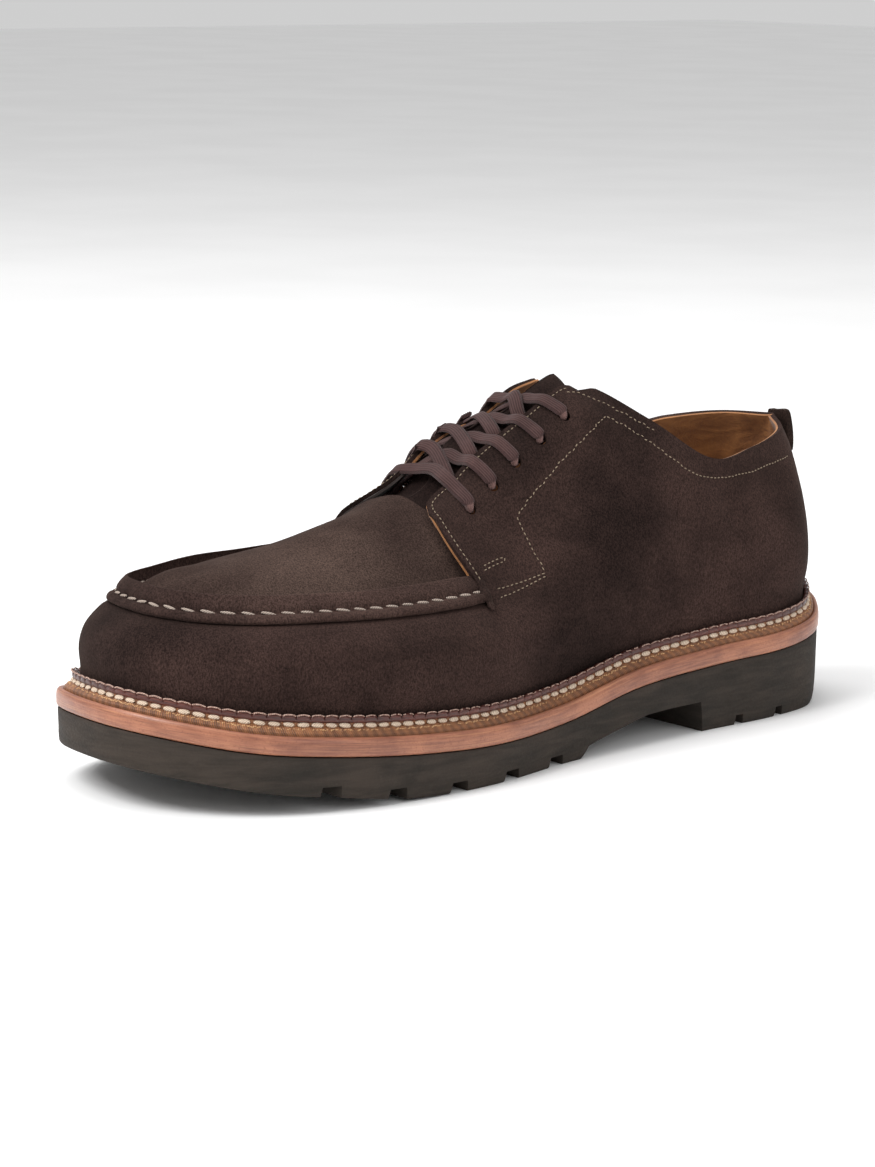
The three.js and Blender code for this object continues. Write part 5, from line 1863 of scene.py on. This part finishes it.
EDGE_SHARE = EYELET_IN / (2 * (THROAT_HALF + EYELET_IN))
OVER = GAP + 0.5 * LACE_THICK
PINCHED = 0.62 * LACE_WIDTH
OUT_OF_HOLE = {  # share of the way, height in mm, width in mm
    "lateral": [
        (0.0, -0.55 * WALL, PINCHED),
        (0.008, 0.35, PINCHED),
    ],
    "medial": [
        (0.0, -0.55 * WALL, PINCHED),
        (0.008, 0.4, PINCHED),
        (0.045, OVER, 0.78 * LACE_WIDTH),
        (0.11, OVER, LACE_WIDTH),
        (EDGE_SHARE - 0.05, OVER, LACE_WIDTH),
        (EDGE_SHARE + 0.025, OVER - 0.1, LACE_WIDTH),
    ],
}
UNDER_FACING = [  # the hidden run to the next eyelet: share of the way, height, width, shift
    (1.03 - EDGE_SHARE, -WALL - 0.95, LACE_WIDTH, 0.007),
    (0.9, -WALL - 0.95, LACE_WIDTH, 0.003),
    (0.985, -WALL - 0.8, 0.7 * LACE_WIDTH, 0.0),
    (1.0, -0.62 * WALL, PINCHED, 0.0),
]


LACE_TOP, LACE_BACK = 25, 9  # points across the ribbed face and across the back
LACE_RIB = 0.14  # height of a rib in mm
LACE_CUP, LACE_THICKER = 0.35, 0.5  # how far a pinched lace cups and thickens, as shares
FAR_STRAP = (-1.9, 1, -1.6)  # lowest and highest over the throat, and how far it dives, in mm
NEAR_STRAP = (-4, OVER + 1.2, -3.3)
BAR_REACH = (-2.5, OVER + 0.6, 3)  # lowest, highest, and how far inside the throat that counts


# Where the frame shows the middle of each run: the bar, then the runs that start on either side
BAR_LINE = [(467, 502), (457, 493), (445, 486), (431, 481.5), (412, 477), (397, 473.5)]
NEAR_LINES = [
    [(490.5, 479), (482.5, 471), (471, 465.5), (457.8, 464), (442, 465.5)],
    [(513.5, 455), (506.5, 446.7), (495.6, 441.5), (482, 441.5), (468.9, 445)],
    [(538.5, 433.5), (528.9, 427), (517.8, 423.3), (504.4, 422.2), (491, 425.6)],
    [(561.5, 409.5), (553.3, 403), (542.2, 399), (531, 400), (520, 403.3)],
]
FAR_LINES = [
    [(412, 448), (420, 458), (428, 467)],
    [(435, 430), (442, 440), (450, 450.5)],
    [(464, 409.5), (469.5, 420), (477, 431)],
    [(494.4, 390.5), (502.2, 400), (509, 409)],
]


def on_plane(px, py, start, end):
    """Where the ray through a place in the frame meets the upright plane through two points."""
    way = ray_of(px, py)
    across = np.array([start[1] - end[1], end[0] - start[0], 0])
    return EYE + way * (np.dot(start - EYE, across) / np.dot(way, across))


class SHOE_OT_lace(ShoePiece, bpy.types.Operator):
    """Flat ribbed lace, crossed over the throat and run through the eyelets"""

    bl_idname = "shoe.lace"
    bl_label = "Lace"

    def station(self, start, end, share, height, width=LACE_WIDTH, shift=0.0):
        """Middle, way across and width of a run, at a share of the way between two eyelets."""
        a, b = self.holes[start], self.holes[end]
        x, y = a[:2] + (b[:2] - a[:2]) * share
        point, normal = over(self.tree, x, along_of(y) + shift)
        across = np.cross(normal, (b - a) * [1, 1, 0])
        return [point + normal * height, across / np.linalg.norm(across), width]

    def shown(self, start, end, places, low, high, margin=1.0):
        """Stations where the frame shows the run, kept above the facing and the tongue."""
        a, b = self.holes[start], self.holes[end]
        made = []
        for px, py in places:
            spot = on_plane(px, py, a, b)
            point, normal = over(self.tree, spot[0], along_of(spot[1]))
            height = float(np.dot(spot - point, normal))
            inside = abs(point[0] - THROAT_MIDDLE) < THROAT_HALF - margin
            kept = min(max(height, low if inside else OVER), high)
            across = np.cross(normal, (b - a) * [1, 1, 0])
            made.append([point + normal * kept, across / np.linalg.norm(across), LACE_WIDTH])
        return made

    def ribbon(self, stations, ribs, steps=7):
        """A flat run through its stations, ribbed on top and cupped where it is pinched."""
        line = spline([s[0] for s in stations], [steps] * (len(stations) - 1))
        grid, pinch = [], []
        for i, here in enumerate(line):
            place = i / steps
            k = min(int(place), len(stations) - 2)
            mix = smooth(0, 1, place - k)
            across = stations[k][1] * (1 - mix) + stations[k + 1][1] * mix
            width = stations[k][2] * (1 - mix) + stations[k + 1][2] * mix
            ahead = line[min(i + 1, len(line) - 1)] - line[max(i - 1, 0)]
            ahead /= np.linalg.norm(ahead)
            through = np.cross(ahead, across)
            through /= np.linalg.norm(through)
            flat = np.cross(through, ahead)
            pinched = 1 - width / LACE_WIDTH
            thick = LACE_THICK * (1 + LACE_THICKER * pinched)
            curl = LACE_CUP * pinched * LACE_WIDTH
            ring = []
            for turned, count in ((1, LACE_TOP), (-1, LACE_BACK)):
                for m in range(count):
                    u = (1 - 2 * m / (count - 1)) * turned
                    edge = math.sqrt(max(0, 1 - abs(u) ** 5))
                    rise = 0.5 * thick * edge
                    if turned == 1:
                        rise += LACE_RIB * edge * math.cos(math.pi * ribs * u)
                    if turned == -1 and m in (0, count - 1):
                        continue
                    bend = curl * (u * u - 0.4)
                    ring.append(here + flat * (u * width / 2) - through * (rise * turned + bend))
            grid.append(ring)
            # How pinched each point is, kept for the lace's painted highlight at the eyelets.
            pinch += [1 - smooth(PINCHED, 0.95 * LACE_WIDTH, width)] * len(ring)
        piece = grid_piece("lace_run", grid, closed=True, caps=True)
        layer = piece.data.attributes.new("pinch", "FLOAT", "POINT")
        layer.data.foreach_set("value", pinch[:len(piece.data.vertices)])
        return piece

    def strap(self, start, end, places, low, high, dive):
        """A run out of one eyelet, over the throat and under the other facing to the next."""
        made = [self.station(start, end, *row) for row in OUT_OF_HOLE[start[0]]]
        made += self.shown(start, end, places, low, high)
        made.append(self.station(start, end, 0.94 - EDGE_SHARE, dive, LACE_WIDTH, 0.006))
        made += [self.station(start, end, *row) for row in UNDER_FACING]
        return self.ribbon(made, self.ribs)

    def bar(self, start, end):
        """The straight run at the bottom, over both facings."""
        near = [self.station(start, end, *row) for row in OUT_OF_HOLE[start[0]]]
        far = [self.station(end, start, *row) for row in OUT_OF_HOLE[end[0]][:4]][::-1]
        for station in far:
            station[1] = -station[1]
        between = self.shown(start, end, BAR_LINE, *BAR_REACH)
        return self.ribbon(near + between + far, self.ribs)

    def make(self, sizes):
        self.tree = bridged_tree(*crown_panels())
        self.ribs = sizes.lace_ribs
        self.holes = {(side, number): eyelet(self.tree, side, number)[0]
                      for side in SIDES for number in range(len(EYELETS))}
        runs = [self.bar(("lateral", 0), ("medial", 0))]
        for k in range(1, len(EYELETS)):
            near, far = NEAR_LINES[k - 1], FAR_LINES[k - 1]
            runs.append(self.strap(("medial", k), ("lateral", k - 1), far, *FAR_STRAP))
            runs.append(self.strap(("lateral", k), ("medial", k - 1), near, *NEAR_STRAP))
        piece = joined(runs, "lace_runs")
        merge(piece, outwards=True)
        smoothed(piece, 60)
        finish = cotton("lace_cotton", colour("lace"), tone("2b1c1b"), tone("8a6a64"))
        finished(piece, finish, "lace_cotton", "lace")


# Rows of fine stitching, by where the frame shows them on the near side
REINFORCEMENT = [(606, 416), (590, 432), (560, 463), (530, 498), (518, 515)]
CORNER = [(516.5, 517), (534, 552), (545, 571)]
LOWER_ROW = [(545.5, 573), (520, 582.5), (497, 589)]
LOWER_ROW_TWO = [(546, 576), (522, 588), (500, 598)]
BAR_TACK = [
    (483, 566), (494, 560), (503, 556.5), (506, 559.5), (502, 563), (493, 566.5), (484, 571),
]
COLLAR_ROW = [
    (566, 392), (574, 392), (583, 394.5), (597, 400), (611, 406.5), (631, 417.5), (655, 431),
]
COLLAR_ROW_TWO = [
    (606, 416), (632, 430), (657, 447), (685, 468), (700, 476), (715, 478), (730, 477), (757, 470),
    (775, 462), (788, 456),
]
SEAMS = [REINFORCEMENT, CORNER, LOWER_ROW, LOWER_ROW_TWO, BAR_TACK, COLLAR_ROW,
         COLLAR_ROW_TWO]


FINE_STITCH = (1.1, 0.38, 0.36)  # length, width and height in mm
# The row along each facing's edge: where it starts, its last column in front, mm in from the edge
EDGE_ROW = (0.405, 25, 1.8)


class SHOE_OT_stitching(ShoePiece, bpy.types.Operator):
    """Fine rows of stitches on the quarters and the facings"""

    bl_idname = "shoe.stitching"
    bl_label = "Fine stitching"

    def make(self, sizes):
        panel, twin, tree = WORK["lateral"], WORK["medial"], WORK["tree"]
        shape = thread_shape("stitch")
        pitch = sizes.fine_pitch / MM
        spots = []
        for places in SEAMS:
            for path, normals in seam_on(panel, twin, tree, places):
                if len(path) > 1:
                    spots += row_of_stitches(path, normals, pitch, FINE_STITCH, -0.03, 0, 0.25,
                                             21)
        for edged in (panel, twin):
            path, normals = edge_row(edged, tree, *EDGE_ROW)
            spots += row_of_stitches(path, normals, pitch, FINE_STITCH, -0.03, 0, 0.25, 31)
        piece = scattered("fine_stitches", shape, spots)
        smoothed(piece)
        finished(piece, thread("thread_fine", tone("a8967f"), tone("665747"), 0.0005),
                 "upper_suede")


LAMPS = [  # name, place and size in metres, watts
    ("key", (-0.2, -1.3, 1.6), 1.0, 34),
    ("top", (-0.5, 0.1, 1.7), 1.4, 14),
    ("side", (1.6, 0.3, 0.9), 1.2, 6),
]


class SHOE_OT_stage(bpy.types.Operator):
    """Pale floor, soft light and the camera"""

    bl_idname = "shoe.stage"
    bl_label = "Stage and camera"
    bl_options = {"REGISTER", "UNDO"}

    def lamp(self, name, place, size, power):
        data = bpy.data.lights.new(name, "AREA")
        data.energy, data.size = power, size
        lamp = bpy.data.objects.new(name, data)
        lamp.location = place
        way = Vector((0, 0, 0.05)) - Vector(place)
        lamp.rotation_euler = way.to_track_quat("-Z", "Y").to_euler()
        bpy.context.scene.collection.objects.link(lamp)

    def execute(self, context):
        bpy.ops.object.select_all(action="DESELECT")
        bpy.ops.mesh.primitive_plane_add(size=12, location=(0, 0, 0))
        floor = context.active_object
        floor.name = "floor"
        floor.data.materials.append(floor_finish())
        world = bpy.data.worlds.new("studio")
        context.scene.world = world
        world.use_nodes = True
        world.node_tree.nodes["Background"].inputs["Color"].default_value = (1, 1, 1, 1)
        world.node_tree.nodes["Background"].inputs["Strength"].default_value = 0.62
        for lamp in LAMPS:
            self.lamp(*lamp)
        context.scene.view_settings.view_transform = "Standard"
        data = bpy.data.cameras.new("camera")
        data.sensor_fit, data.sensor_width = "AUTO", 36
        data.lens = FOCAL * 36 / FRAME_HIGH
        data.shift_x = -(MIDDLE_X - FRAME_WIDE / 2) / FRAME_HIGH
        data.shift_y = (MIDDLE_Y - FRAME_HIGH / 2) / FRAME_HIGH
        data.clip_start, data.clip_end = 0.05, 40
        camera = bpy.data.objects.new("camera", data)
        context.scene.collection.objects.link(camera)
        turn = Matrix((RIGHT, UP, BACK)).transposed().to_4x4()
        place = (EYE + np.array([SHIFT, 0, 0])) * MM
        camera.matrix_world = Matrix.Translation(Vector(place)) @ turn
        context.scene.camera = camera
        return {"FINISHED"}


OPERATORS = (
    SHOE_OT_upper, SHOE_OT_apron, SHOE_OT_apron_seam, SHOE_OT_seam_ends, SHOE_OT_lining,
    SHOE_OT_insole, SHOE_OT_midsole, SHOE_OT_welt, SHOE_OT_outsole, SHOE_OT_tongue, SHOE_OT_tab,
    SHOE_OT_lace, SHOE_OT_stitching, SHOE_OT_stage,
)


class SHOE_PT_pieces(bpy.types.Panel):
    """Buttons and settings for the shoe's pieces"""

    bl_idname = "SHOE_PT_pieces"
    bl_label = "Lace-up shoe"
    bl_space_type = "VIEW_3D"
    bl_region_type = "UI"
    bl_category = "Shoe"

    def draw(self, context):
        for group in (context.scene.shoe_sizes, context.scene.shoe_colours):
            box = self.layout.box()
            for name in group.__annotations__:
                box.prop(group, name)
        for operator in OPERATORS:
            self.layout.operator(operator.bl_idname)


CLASSES = (ShoeSizes, ShoeColours, *OPERATORS, SHOE_PT_pieces)


def register():
    for kind in CLASSES:
        bpy.utils.register_class(kind)
    bpy.types.Scene.shoe_sizes = PointerProperty(type=ShoeSizes)
    bpy.types.Scene.shoe_colours = PointerProperty(type=ShoeColours)


def unregister():
    del bpy.types.Scene.shoe_colours
    del bpy.types.Scene.shoe_sizes
    for kind in reversed(CLASSES):
        bpy.utils.unregister_class(kind)


def main():
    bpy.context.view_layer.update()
    register()
    for operator in OPERATORS:
        group, name = operator.bl_idname.split(".")
        getattr(getattr(bpy.ops, group), name)()


if __name__ == "__main__":
    main()
